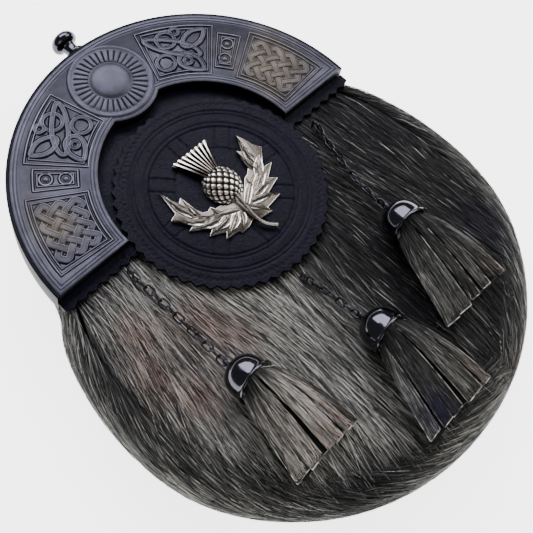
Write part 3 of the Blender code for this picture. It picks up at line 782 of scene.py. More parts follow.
@dataclass
class Cantle:
    """The cast arch: deep rim, bordered plate, framed knotwork and the fluted medallion."""

    metal: Material
    outer_r: float = 81.0
    plate_r: float = 79.5
    inner_r: float = 44.8
    lobe_r: float = 20.2
    end_y: float = 7.0
    medallion_y: float = 67.2
    plate_back: float = -1.7
    ground: float = 2.85
    arch_steps: int = 120
    # The rim's section, as radius and height.
    rim_section: Outline = (
        (79.4, -8.5), (80.7, -8.5), (81.0, -8.2), (81.0, 1.9), (80.85, 2.45), (80.5, 2.65),
        (79.9, 2.65), (79.5, 2.5), (79.3, 2.35), (78.0, 2.35), (78.0, -1.7), (79.4, -1.7),
    )
    knot: Panel = Panel(3.9, 31.6, 49.2, 73.9)
    rings: Panel = Panel(34.4, 42.6, 52.6, 70.4)
    loops: Panel = Panel(44.6, 71.6, 48.6, 74.0)
    # The border's steps inwards from the plate's edge. columns: how far in, height
    border: Outline = (
        (0.0, 2.85), (0.35, 3.05), (1.2, 3.05), (1.4, 2.8), (1.6, 2.8), (1.8, 3.05), (2.6, 3.05),
        (2.75, 2.76), (2.95, 2.76), (3.1, 2.95), (3.6, 2.95), (3.75, 2.85),
    )
    # The frames round each panel: how far in each lies and its width.
    frame_lines: Outline = ((0.0, 0.75), (1.75, 0.55))
    # The plait in the low panel: squares across it and along it, and its width.
    plait: tuple[int, int] = (3, 4)
    plait_inset: float = 2.9
    plait_width: float = 2.9
    # The loop panel's pointed lobes on the right side, as x and y along each, and its rings as
    # x, y and radius, with the widths of both.
    lobes: tuple[Outline, ...] = (
        ((48.6, 61.0), (47.6, 62.0), (43.6, 64.4), (38.4, 63.6), (34.2, 60.6), (38.2, 57.2),
         (43.6, 57.2), (47.4, 59.8)),
        ((34.0, 45.4), (35.2, 47.0), (36.6, 51.0), (35.4, 56.0), (31.4, 58.2), (27.6, 55.4),
         (28.4, 50.6), (32.4, 46.4)),
        ((24.0, 73.6), (25.8, 72.8), (31.5, 68.0), (36.8, 62.0), (39.6, 54.6), (38.2, 51.6),
         (35.2, 53.4), (29.6, 59.6), (25.0, 66.6), (23.4, 72.0)),
    )
    lobe_width: float = 2.1
    loop_rings: Rows = (
        (31.6, 67.4, 4.2), (23.8, 58.6, 4.0), (31.8, 53.4, 1.7), (37.6, 68.4, 1.9),
    )
    loop_ring_width: float = 1.7
    boss_angle: float = 38.7
    boss_radii: Point = (57.4, 65.3)
    boss_ring: Point = (2.6, 0.8)
    boss_dot: Outline = (
        (0, 0.5), (0.6, 0.44), (1.05, 0.1), (1.5, 0.04), (1.5, -0.4), (0, -0.4),
    )
    medallion_section: Outline = (
        (0, 1.5), (3.0, 1.46), (5.4, 1.32), (7.0, 1.1), (8.0, 0.82), (8.7, 0.45), (9.0, 0.3),
        (9.3, 0.3), (9.6, 0.55), (10.1, 0.62), (12.2, 0.62), (14.6, 0.6), (15.4, 0.52),
        (15.9, 0.3), (16.3, 0.3), (16.7, 0.5), (17.4, 0.58), (18.1, 0.42), (18.5, 0.0),
        (18.5, -1.0), (0, -1.0),
    )
    dome_r: float = 8.9
    flutes: int = 34
    fluted_r: Point = (9.5, 15.5)
    flute_depth: float = 0.4

    def outline(self, inset: float) -> list[Point]:
        """The plate's outline, drawn in: outer arc, ends, inner arc and the medallion's lobe.

        Args:
            inset: how far in, in millimetres.

        Returns:
            As many points for every inset.
        """
        outer_r, inner_r = self.plate_r - inset, self.inner_r + inset
        lobe_r, end_y = self.lobe_r - inset, self.end_y + inset

        def end_angle(radius: float) -> float:
            """Where an arc meets the plate's end, in degrees."""
            return math.degrees(math.asin((end_y - ARCH_Y) / radius))

        rise = self.medallion_y - ARCH_Y
        cusp_y = (inner_r ** 2 - lobe_r ** 2 + rise ** 2) / (2 * rise)
        cusp = math.degrees(math.acos(cusp_y / inner_r))
        lobe = math.degrees(math.atan2(math.sqrt(inner_r ** 2 - cusp_y ** 2), rise - cusp_y))
        steps = self.arch_steps
        outer = arc(outer_r, end_angle(outer_r), 180 - end_angle(outer_r), steps)
        left = arc(inner_r, 180 - end_angle(inner_r), 90 + cusp, steps // 3)
        under = arc(lobe_r, -90 - lobe, -90 + lobe, 16, (0, self.medallion_y))[1:-1]
        right = arc(inner_r, 90 - cusp, end_angle(inner_r), steps // 3)
        return outer + left + under + right

    def plate(self) -> Mesh:
        """The plate with its border of raised lines, each step drawn out of the one before.

        Returns:
            A closed mesh.
        """
        shape = bmesh.new()
        verts = [shape.verts.new((x, y, self.plate_back)) for x, y in self.outline(0.0)]
        loop = shape.faces.new(verts).edges[:]
        number = {vert: k for k, vert in enumerate(verts)}
        for inset, z in self.border:
            outline = self.outline(inset)
            drawn = bmesh.ops.extrude_edge_only(shape, edges=loop)["geom"]
            fresh = {}
            for vert in of_kind(drawn, BMVert):
                origin = next(edge.other_vert(vert) for edge in vert.link_edges
                              if edge.other_vert(vert) in number)
                fresh[vert] = number[origin]
                vert.co = (*outline[number[origin]], z)
            loop = [edge for edge in of_kind(drawn, BMEdge)
                    if all(vert in fresh for vert in edge.verts)]
            number = fresh
        bmesh.ops.edgeloop_fill(shape, edges=loop)
        return to_mesh(clean(shape))

    def rim(self) -> Mesh:
        """The deep outer wall with the groove between it and the plate.

        Returns:
            A closed mesh.
        """
        shape = bmesh.new()
        verts = [shape.verts.new((radius, ARCH_Y, z)) for radius, z in self.rim_section]
        face = shape.faces.new(verts)
        turn = math.asin((ARCH_Y - self.end_y) / self.outer_r)
        bmesh.ops.rotate(shape, verts=verts, cent=(0, ARCH_Y, 0),
                         matrix=Matrix.Rotation(-turn, 3, "Z"))
        bmesh.ops.spin(shape, geom=[face, *face.edges, *verts], cent=(0, ARCH_Y, 0), axis=UP,
                       angle=math.pi + 2 * turn, steps=self.arch_steps)
        return to_mesh(clean(shape))

    def frames(self) -> list[Mesh]:
        """The raised lines round each panel, each between two flat strips painted dark, as the
        shade and oxide of chased grooves.

        Returns:
            A mesh for each line.
        """
        meshes = []
        for panel in (self.knot, self.rings, self.loops):
            for inset, width in self.frame_lines:
                points = [(x, y, self.ground) for x, y in panel.inset(inset).line()]
                meshes.append(self.drawn(points, self.line_section(width)))
        return meshes

    def line_section(self, width: float) -> list[Point]:
        """A raised line between two flat strips that the material darkens, painted shade and oxide.
        """
        half, out = width / 2, width / 2 + 0.42
        return [(-out, -0.4), (-out, 0.04), (-half, 0.06), (-half * 0.6, 0.4), (half * 0.6, 0.4),
                (half, 0.06), (out, 0.04), (out, -0.4)]

    def band_section(self, width: float) -> list[Point]:
        """A band with a raised line along each edge, a hollow between them and a border painted
        dark, as shade and oxide.
        """
        half = width / 2
        return [(-half - 0.55, -0.5), (-half - 0.55, 0.02), (-half, 0.04), (-half + 0.15, 0.36),
                (-half + 0.4, 0.42), (-half + 0.65, 0.22), (half - 0.65, 0.22), (half - 0.4, 0.42),
                (half - 0.15, 0.36), (half, 0.04), (half + 0.55, 0.02), (half + 0.55, -0.5)]

    def drawn(self, points: Points, section: Sequence[Point], smooth: int = 0) -> Mesh:
        """A closed raised line that keeps the height over its own foot, which the material reads.

        Args:
            points: the line.
            section: its cross-section.
            smooth: steps between two points of a smooth line, or none.

        Returns:
            The line's mesh.
        """
        mesh = sweep(points, section, closed=True, smooth=smooth)
        heights = np.clip((np.array([up for _, up in section]) - 0.05) / 0.38, 0.0, 1.0)
        store(mesh, "relief", np.resize(heights, len(mesh.vertices)))
        return mesh

    def interlace(self, panel: Panel, columns: int, rows: int) -> Mesh:
        """A closed plait: one band that runs across the panel's grid and turns back at its sides.

        Args:
            panel: where it lies.
            columns: squares across the panel.
            rows: squares along it.

        Returns:
            The band's mesh.
        """
        wide, long = 2 * columns, 2 * rows
        total = 2 * wide * long // math.gcd(wide, long)
        points = []
        for k in range(2 * total):
            t = k / 2
            x, y = folded(t + 1, wide), folded(t, long)
            rising = ((t + 1) % (2 * wide) < wide) == (t % (2 * long) < long)
            side = min(x, wide - x, 1.0) * min(y, long - y, 1.0)
            wave = -math.cos(math.pi * x) if min(x, wide - x) > 1 else 1.0
            height = (1 if rising else -1) * wave * side
            px, py = panel.place(x / wide, y / long)
            points.append((px, py, self.ground + 0.1 + 0.2 * height))
        return self.drawn(points, self.band_section(self.plait_width), 3)

    def loop_knot(self) -> list[Mesh]:
        """Pointed lobes that lace through each other and through rings.

        Returns:
            A mesh for each lobe and ring.
        """
        meshes = []
        for number, lobe in enumerate(self.lobes):
            points = [(x, y, self.ground + 0.1 + (0.16 if (k + number) % 2 else -0.06))
                      for k, (x, y) in enumerate(lobe)]
            meshes.append(self.drawn(points, self.band_section(self.lobe_width), 5))
        for x, y, radius in self.loop_rings:
            points = [(px, py, self.ground + 0.08 + 0.14 * math.sin(6 * math.pi * k / 24))
                      for k, (px, py) in enumerate(arc(radius, 0, 345, 23, (x, y)))]
            meshes.append(self.drawn(points, self.band_section(self.loop_ring_width), 1))
        return meshes

    def bosses(self) -> list[Mesh]:
        """The ringed bosses in the small panel.

        Returns:
            A mesh for each ring and each dot.
        """
        meshes = []
        ring_r, ring_width = self.boss_ring
        for radius in self.boss_radii:
            centre = on_arch(radius, self.boss_angle)
            points = [(x, y, self.ground) for x, y in arc(ring_r, 0, 345, 23, centre)]
            meshes.append(self.drawn(points, self.line_section(ring_width)))
            seat = Matrix.Translation((*centre, self.ground))
            dot = to_mesh(spun(self.boss_dot, 14, seat))
            store(dot, "relief", np.clip((places(dot)[:, 2] - self.ground) / 0.4, 0.0, 1.0))
            meshes.append(dot)
        return meshes

    def medallion(self) -> Mesh:
        """The plain dome in its fluted ring and raised border.

        Returns:
            A closed mesh.
        """
        shape = spun(self.medallion_section, self.flutes * 8)
        relief = shape.verts.layers.float.new("relief")
        for vert in shape.verts:
            radius = math.hypot(vert.co.x, vert.co.y)
            vert[relief] = 0.46 if radius < self.dome_r else 0.3 + 0.4 * vert.co.z
            if self.fluted_r[0] < radius < self.fluted_r[1] and vert.co.z > 0:
                groove = max(0.0, math.cos(self.flutes * math.atan2(vert.co.y, vert.co.x))) ** 3
                vert.co.z -= self.flute_depth * groove
                vert[relief] -= 0.42 * groove
        mesh = to_mesh(clean(shape))
        mesh.transform(Matrix.Translation((0, self.medallion_y, self.ground)))
        return mesh

    def build(self) -> Object:
        """The whole casting as one piece, its ornament mirrored.

        Returns:
            The new piece.
        """
        right = self.frames() + self.loop_knot() + self.bosses()
        right.append(self.interlace(self.knot.inset(self.plait_inset), *self.plait))
        left = [mesh.copy() for mesh in right]
        for mesh in left:
            mesh.transform(Matrix.Scale(-1, 4, (1, 0, 0)))
            mesh.flip_normals()
        plate, rim = self.plate(), self.rim()
        store(plate, "relief", np.clip((places(plate)[:, 2] - 2.4) / 1.1, 0, 1))
        # Painted shade: the rim's wall takes the darkest colour and its top nearly so, for the dark
        # edge round the plate.
        store(rim, "relief", np.where(places(rim)[:, 2] > 2.2, 0.08, 0.0))
        mesh = joined([plate, rim, self.medallion(), *right, *left])
        x, y, _ = places(mesh).T
        # Painted light and shade: the relief is raised towards the left end and lowered towards the
        # right, as the light falls across the arch.
        painted_light_and_shade = 1.12 - 0.34 * np.clip((x + 75) / 110, 0, 1)
        store(mesh, "relief", stored(mesh, "relief") * painted_light_and_shade)
        left_spot = np.exp(-((x + 61) / 8) ** 2 - ((y - 31) / 10) ** 2)
        right_spot = np.exp(-((x - 58) / 14) ** 4 - ((y - 29) / 17) ** 4)
        store(mesh, "warm", 0.45 * left_spot + 0.4 * right_spot)
        return finish_piece("cantle_casting", mesh, [self.metal], ["cantle"])


@dataclass
class Knob:
    """The turned knob on the rim's top."""

    metal: Material
    place: Place = (0.6, 89.0, -2.9)
    profile: Outline = (
        (0, 12.1), (2.4, 12.05), (3.9, 11.8), (4.9, 11.2), (5.6, 10.3), (5.95, 9.3), (5.95, 8.3),
        (5.6, 7.5), (4.9, 6.9), (4.2, 6.5), (3.5, 6.1), (3.2, 5.6), (3.1, 4.6), (3.1, 3.0),
        (3.3, 2.3), (4.1, 1.95), (4.45, 1.6), (4.45, 0.8), (4.2, 0.5), (0, 0.5),
    )

    def build(self) -> Object:
        """The knob, its groove and its collar.

        Returns:
            The new piece.
        """
        axis = Matrix.Translation(self.place) @ Matrix.Rotation(math.radians(-90), 4, "X")
        mesh = to_mesh(spun(self.profile, 48, axis))
        return finish_piece("turned_knob", mesh, [self.metal],
                            ["cantle_knob"], 50)


# ---- leather

@dataclass
class TooledRoundel:
    """The pinked leather disc with stamped circles and spokes."""

    leather: Material
    radius: float = 44.9
    thickness: float = 1.8
    # The rounded edge, as radius and height, and the flat face in steps fine enough to stamp.
    edge: Outline = ((44.75, -0.05), (44.3, -0.05), (43.6, -0.05), (42.8, -0.05))
    face_r: Place = (42.4, 15.0, -0.4)
    teeth: int = 50
    pinking: float = 1.7
    pinked_r: float = 42.0
    # columns: radius and depth of each stamped circle
    circles: Outline = ((19.4, 0.35), (30.0, 0.4), (31.8, 0.4), (36.2, 0.45), (37.8, 0.45))
    groove: float = 0.42
    spokes: int = 8
    spoke_half: float = 3.1
    spoke_r: Point = (19.4, 30.0)
    zigzag_r: float = 41.0
    zigzag_swing: float = 0.8

    def build(self) -> Object:
        """The disc, spun from its edge profile and stamped.

        Returns:
            The new piece.
        """
        profile = [(0, -self.thickness), (self.radius, -self.thickness), (self.radius, -0.35),
                   *self.edge, *((float(r), 0.0) for r in np.arange(*self.face_r)),
                   (10.0, 0.0), (5.0, 0.0), (0, 0.0)]
        shape = spun(profile[::-1], self.teeth * 8)
        for vert in shape.verts:
            radius = math.hypot(vert.co.x, vert.co.y)
            if radius < 1e-3:
                continue
            angle = math.atan2(vert.co.y, vert.co.x)
            if radius > self.pinked_r:
                tooth = abs((angle * self.teeth / FULL_TURN) % 1.0 - 0.5) * 2
                share = (radius - self.pinked_r) / (self.radius - self.pinked_r)
                scale = 1 - self.pinking * tooth * share / radius
                vert.co.x *= scale
                vert.co.y *= scale
            if vert.co.z > -0.3:
                vert.co.z -= self.stamp(radius, angle)
        bmesh.ops.recalc_face_normals(shape, faces=shape.faces)
        mesh = to_mesh(shape)
        return finish_piece("tooled_roundel", mesh, [self.leather], ["roundel"], 50)

    def stamp(self, radius: float, angle: float) -> float:
        """How deep the tooling is at a place.

        Args:
            radius: from the disc's centre.
            angle: about it.

        Returns:
            A depth in millimetres.
        """
        depth = sum(deep * math.exp(-((radius - at) / self.groove) ** 2)
                    for at, deep in self.circles)
        if self.spoke_r[0] < radius < self.spoke_r[1]:
            sector = FULL_TURN / self.spokes
            side = abs(radius * math.sin((angle + sector / 2) % sector - sector / 2))
            depth += 0.38 * math.exp(-((side - self.spoke_half) / self.groove) ** 2)
        if abs(radius - self.zigzag_r) < 2 * self.zigzag_swing:
            swing = abs((angle * self.teeth / math.pi) % 1.0 - 0.5) * 4 - 1
            zigzag = self.zigzag_r + self.zigzag_swing * swing
            depth += 0.4 * math.exp(-((radius - zigzag) / 0.4) ** 2)
        spot = Vector((radius * math.cos(angle), radius * math.sin(angle), 3.0))
        return depth + 0.18 * noise.noise(spot * 0.12)


@dataclass
class Apron:
    """The leather under the cantle, with a pinked lower edge."""

    leather: Material
    front: float = -2.1
    back: float = -3.9
    top: float = 6.7
    low: float = 2.9
    half_width: float = 81.0
    inner_r: float = 79.1
    pinking: float = 1.7
    tooth: float = 5.4
    # The teeth run from here to just inside the ends on both sides.
    toothed_x: float = 42.0
    end_gap: float = 0.6

    def build(self) -> Object:
        """The apron as one sheet with a rounded edge.

        Returns:
            The new piece.
        """
        side, toothed = self.half_width, self.half_width - self.end_gap
        angle = math.degrees(math.asin((self.top - ARCH_Y) / self.inner_r))
        outline = [(side, self.low), (side, self.top), *arc(self.inner_r, angle, 180 - angle, 90),
                   (-side, self.top), (-side, self.low), *self.teeth(-toothed, -self.toothed_x),
                   *self.teeth(self.toothed_x, toothed)]
        shape = raised_sheet(outline, self.back, self.front - self.back, 0.3, 3)
        return finish_piece("leather_apron", to_mesh(shape), [self.leather],
                            ["apron"], 50)

    def teeth(self, start: float, end: float) -> list[Point]:
        """A pinked edge between two places along X.

        Args:
            start: the first.
            end: the other.

        Returns:
            Its points.
        """
        count = round(abs(end - start) / self.tooth)
        points = []
        for k in range(count):
            x = start + (end - start) * k / count
            points += [(x, self.low), (x + (end - start) / count / 2, self.low - self.pinking)]
        return points + [(end, self.low)]


# ---- thistle

@dataclass
class ThistleBadge:
    """The cast thistle: two lobed leaves, a scaled bulb, a fluted flower and the stem."""

    metal: Material
    back: float = 0.35
    # A leaf's outline: tips and notches in turn, from the stem round to the bulb.
    left: Outline = (
        (-1.5, -19), (-4, -20), (-8, -20.2), (-9, -18.6), (-15.2, -18), (-13, -15.6),
        (-19.4, -12.4), (-15.8, -10.6), (-24, -5.4), (-20.8, -4.6), (-21.5, -3), (-26.2, 2.8),
        (-22.6, 4), (-21, 15.5),
        (-19.6, 9.5), (-18.6, 6.2), (-16, 8), (-15, -0.5), (-14, -3), (-12, -4), (-10, -3.2),
        (-8.8, -5.2), (-6.6, -5.4), (-4.0, -7.4), (0.6, -8.4), (0.6, -18.5),
    )
    right: Outline = (
        (2, -20.5), (7.8, -21.4), (7.5, -19), (16.2, -18), (10, -15.2), (20.5, -12), (17.5, -9.4),
        (24, -5.2), (20, -4.5), (21, -2.8), (26, 2.8), (24, 6), (23.2, 10), (21.6, 14.4), (20.8, 7),
        (19, 5.4), (16.3, 8.8), (16, 1.5), (14.5, -0.5), (12, -2.5), (10, -3), (8.4, -4.4),
        (5.4, -7.2), (0.2, -8.2), (0.2, -19.5),
    )
    # Ridges of a leaf. columns: root x and y, tip x and y, width
    left_ridges: Rows = (
        (-2.5, -13.5, -7.6, -19.8, 3.4), (-4, -12.6, -14.7, -17.7, 4.0),
        (-6.5, -11.5, -18.8, -12.2, 4.2), (-10, -9.8, -23.4, -5.3, 4.4),
        (-14.5, -7.0, -25.8, 2.6, 4.2), (-17.8, -1.5, -21.0, 14.8, 3.6),
        (-16.6, -4.2, -16.1, 7.4, 2.8), (-9.5, -8.4, -10.2, -3.6, 2.4),
        (-2.2, -12.0, -17.5, -3.0, 3.2),
    )
    right_ridges: Rows = (
        (3.0, -13.8, 7.4, -20.9, 3.4), (4.5, -12.6, 15.6, -17.7, 4.0),
        (7, -11.5, 19.9, -11.9, 4.2), (10, -9.8, 23.4, -5.1, 4.4),
        (14.5, -7.0, 25.6, 2.6, 4.2), (18.3, -1.5, 21.6, 13.8, 3.6),
        (16.6, -4.0, 16.3, 8.1, 2.8), (9.8, -8.2, 10.2, -3.4, 2.4),
        (2.2, -12.0, 18.0, -3.0, 3.2),
    )
    vein_pitch: float = 1.05
    bulb_centre: Place = (0.7, 0.7, 1)
    bulb_size: Place = (7.91, 8.46, 4.3)
    scale_pitches: Point = (2.95, 2.7)
    flutes: int = 8
    # The flower's two ends, each as its left side and its width.
    flower_foot: Point = (-2.9, 7.2)
    flower_top: Point = (-8.8, 19.2)
    flower_y: float = 7.4
    flower_length: float = 12.95
    # The stem. columns: x, y, z, thickness
    stem_line: Rows = (
        (1.0, -6.2, 3.6, 0.8), (0.7, -10.0, 3.4, 0.85), (0.2, -14.0, 3.0, 0.9),
        (-0.1, -18.0, 2.6, 0.9), (0.3, -22.0, 2.2, 0.95), (1.6, -24.8, 1.9, 1.0),
        (4.4, -27.4, 1.7, 1.15),
    )

    def leaf(self, outline: Sequence[Point]) -> Mesh:
        """A leaf's base: its outline with a rounded edge.

        Args:
            outline: the leaf's outline.

        Returns:
            A closed mesh.
        """
        mesh = to_mesh(raised_sheet(outline, self.back, 1.0, 0.35, 2))
        store(mesh, "relief", np.where(places(mesh)[:, 2] > self.back + 0.95, 0.34, 0.95))
        return mesh

    def ridge(self, row: Sequence[float]) -> Mesh:
        """One lobe's ridge: a long veined blade with a sharp back.

        Args:
            row: where the leaf's rib and the lobe's tip are, and its width.

        Returns:
            A closed mesh.
        """
        root, tip, width = Vector((*row[0:2], 0)), Vector((*row[2:4], 0)), row[4]
        length = (tip - root).length
        shape = bmesh.new()
        bmesh.ops.create_grid(shape, x_segments=18, y_segments=14, size=0.5)
        relief = []
        for vert in shape.verts:
            along, across = vert.co.x + 0.5, vert.co.y * 2
            spread = width * (0.35 + 0.85 * math.sin(math.pi * min(along + 0.2, 1.0)))
            spread *= 1 - along ** 2.5
            rib = math.exp(-(across / 0.15) ** 2)
            rim = math.exp(-((abs(across) - 0.86) / 0.17) ** 2)
            count = along * length / self.vein_pitch - abs(across) * 1.3
            vein = 0.5 + 0.5 * math.cos(FULL_TURN * count)
            plain = max(0.0, 1 - rib - rim)
            rise = (0.3 + 1.0 * (1 - across ** 2) + 0.5 * rib + 0.4 * rim - 0.35 * plain
                    + 0.14 * vein * plain)
            rise *= (0.62 + 0.5 * math.sin(math.pi * along)) * (1 - 0.45 * along)
            bend = 0.05 * length * math.sin(math.pi * along)
            vert.co = Vector((along * length, across * spread / 2 + bend, self.back + 0.75 + rise))
            relief.append(0.2 + 0.8 * max(rib, rim) + 0.42 * vein * plain)
        heading = math.atan2(tip.y - root.y, tip.x - root.x)
        bmesh.ops.rotate(shape, verts=shape.verts, matrix=Matrix.Rotation(heading, 3, "Z"))
        bmesh.ops.translate(shape, verts=shape.verts, vec=root)
        return footed(shape, self.back + 0.4, relief, 0.05)

    def scaled_bulb(self) -> Mesh:
        """The bulb: a dome raised into diagonal rows of scales, with dark gaps between them; each
        scale's colour is painted lighter on one side and darker on the other, as lit from one side.

        Returns:
            A closed mesh.
        """
        x, y, z = self.bulb_centre
        rx, ry, rz = self.bulb_size
        shape = bmesh.new()
        bmesh.ops.create_icosphere(shape, subdivisions=6, radius=1)
        relief = shape.verts.layers.float.new("relief")
        for vert in shape.verts:
            side, along, front = vert.co
            around = math.atan2(side, max(front, 1e-6)) * rx
            up = math.asin(max(-1.0, min(1.0, along))) * ry
            cells = ((around + up) / math.sqrt(2) / self.scale_pitches[0],
                     (around - up) / math.sqrt(2) / self.scale_pitches[1] + 0.5)
            off = [2.2 * (cell - round(cell)) for cell in cells]
            tile = max(0.0, 1 - abs(off[0]) ** 3 - abs(off[1]) ** 3) ** 0.6
            # Painted light: the scale's colour is lighter on one side of its centre and darker on
            # the other.
            vert[relief] = min(1.0, 1.2 * tile * (0.72 - 0.3 * off[1]))
            out = 0.55 * tile * (1 - 0.3 * off[1]) - 0.2
            vert.co = (x + side * (rx + out), y + along * (ry + out), z + front * (rz + out))
        cut = bmesh.ops.bisect_plane(shape, geom=shape.verts[:] + shape.edges[:] + shape.faces[:],
                                     plane_co=(0, 0, self.back), plane_no=UP, clear_inner=True)
        bmesh.ops.holes_fill(shape, edges=of_kind(cut["geom_cut"], BMEdge))
        return to_mesh(clean(shape))

    def flower(self) -> Mesh:
        """The fan of flutes that opens from the bulb's top, closed by a lip at its end.

        Returns:
            A closed mesh.
        """
        shape = bmesh.new()
        bmesh.ops.create_grid(shape, x_segments=96, y_segments=20, size=0.5)
        relief = []
        for vert in shape.verts:
            across, up = vert.co.x + 0.5, vert.co.y + 0.5
            low, high = [left + width * across for left, width in (self.flower_foot,
                                                                   self.flower_top)]
            off = (2 * across - 1) ** 2
            flute = abs(math.sin(math.pi * self.flutes * across))
            y = self.flower_y + (self.flower_length + 0.3 * flute) * up - 1.6 * off * (1 - up)
            lip = 0.75 * min(max((up - 0.86) / 0.1, 0.0), 1.0)
            height = (0.7 + 0.9 * up) * max(min(1.0, 1.3 * flute), lip)
            vert.co = Vector((low + (high - low) * up ** 1.12, y,
                              2.8 + height - 2.1 * up + 1.4 * (1 - up) * (1 - off)))
            ridge = min(max((flute - 0.7) / 0.12, 0.0), 1.0) * (0.42 + 0.43 * up)
            relief.append(max(ridge, 0.8 * lip))
        return footed(shape, self.back, relief, 0.1)

    def stem(self) -> Mesh:
        """The stem that curls down between the leaves.

        Returns:
            A closed mesh.
        """
        mesh = sweep([row[:3] for row in self.stem_line], round_section(0.9, 0.9, 10),
                     taper=[row[3] for row in self.stem_line], smooth=5)
        store(mesh, "relief", 0.62)
        return mesh

    def build(self) -> Object:
        """The badge as one piece.

        Returns:
            The new piece.
        """
        meshes = [self.leaf(self.left), self.leaf(self.right), self.flower(), self.stem()]
        meshes += [self.ridge(row) for row in self.left_ridges + self.right_ridges]
        mesh = joined([*meshes, self.scaled_bulb()])
        store(mesh, "warm", 0.0)
        return finish_piece("thistle_casting", mesh, [self.metal],
                            ["thistle_badge"], 32)


# ---- hair

@dataclass(frozen=True)
class Patch:
    """A soft patch in the coat: its centre, its size, and what it does to the hairs in it."""

    x: float
    y: float
    rx: float
    ry: float
    tone: float = 0.0
    warm: float = 0.0
    violet: float = 0.0

    def weight(self, where: Array) -> Array:
        """How strong the patch is at each place."""
        across, up = (where[:, 0] - self.x) / self.rx, (where[:, 1] - self.y) / self.ry
        return np.exp(-across ** 2 - up ** 2)


@dataclass(frozen=True)
class Marking:
    """The coat's tone over the hide: a base and patches on it."""

    base: Reading
    patches: tuple[Patch, ...]

    def read(self, where: Array) -> tuple[Array, Array, Array]:
        """Tone, warmth and violet at each place.

        Args:
            where: rows of x, y and z.

        Returns:
            Three arrays.
        """
        tone = self.base(where)
        warm, violet = np.zeros(len(where)), np.zeros(len(where))
        for patch in self.patches:
            weight = patch.weight(where)
            tone = tone + patch.tone * weight
            warm = warm + patch.warm * weight
            violet = violet + patch.violet * weight
        return tone, np.clip(warm, 0, 1), np.clip(violet, 0, 1)


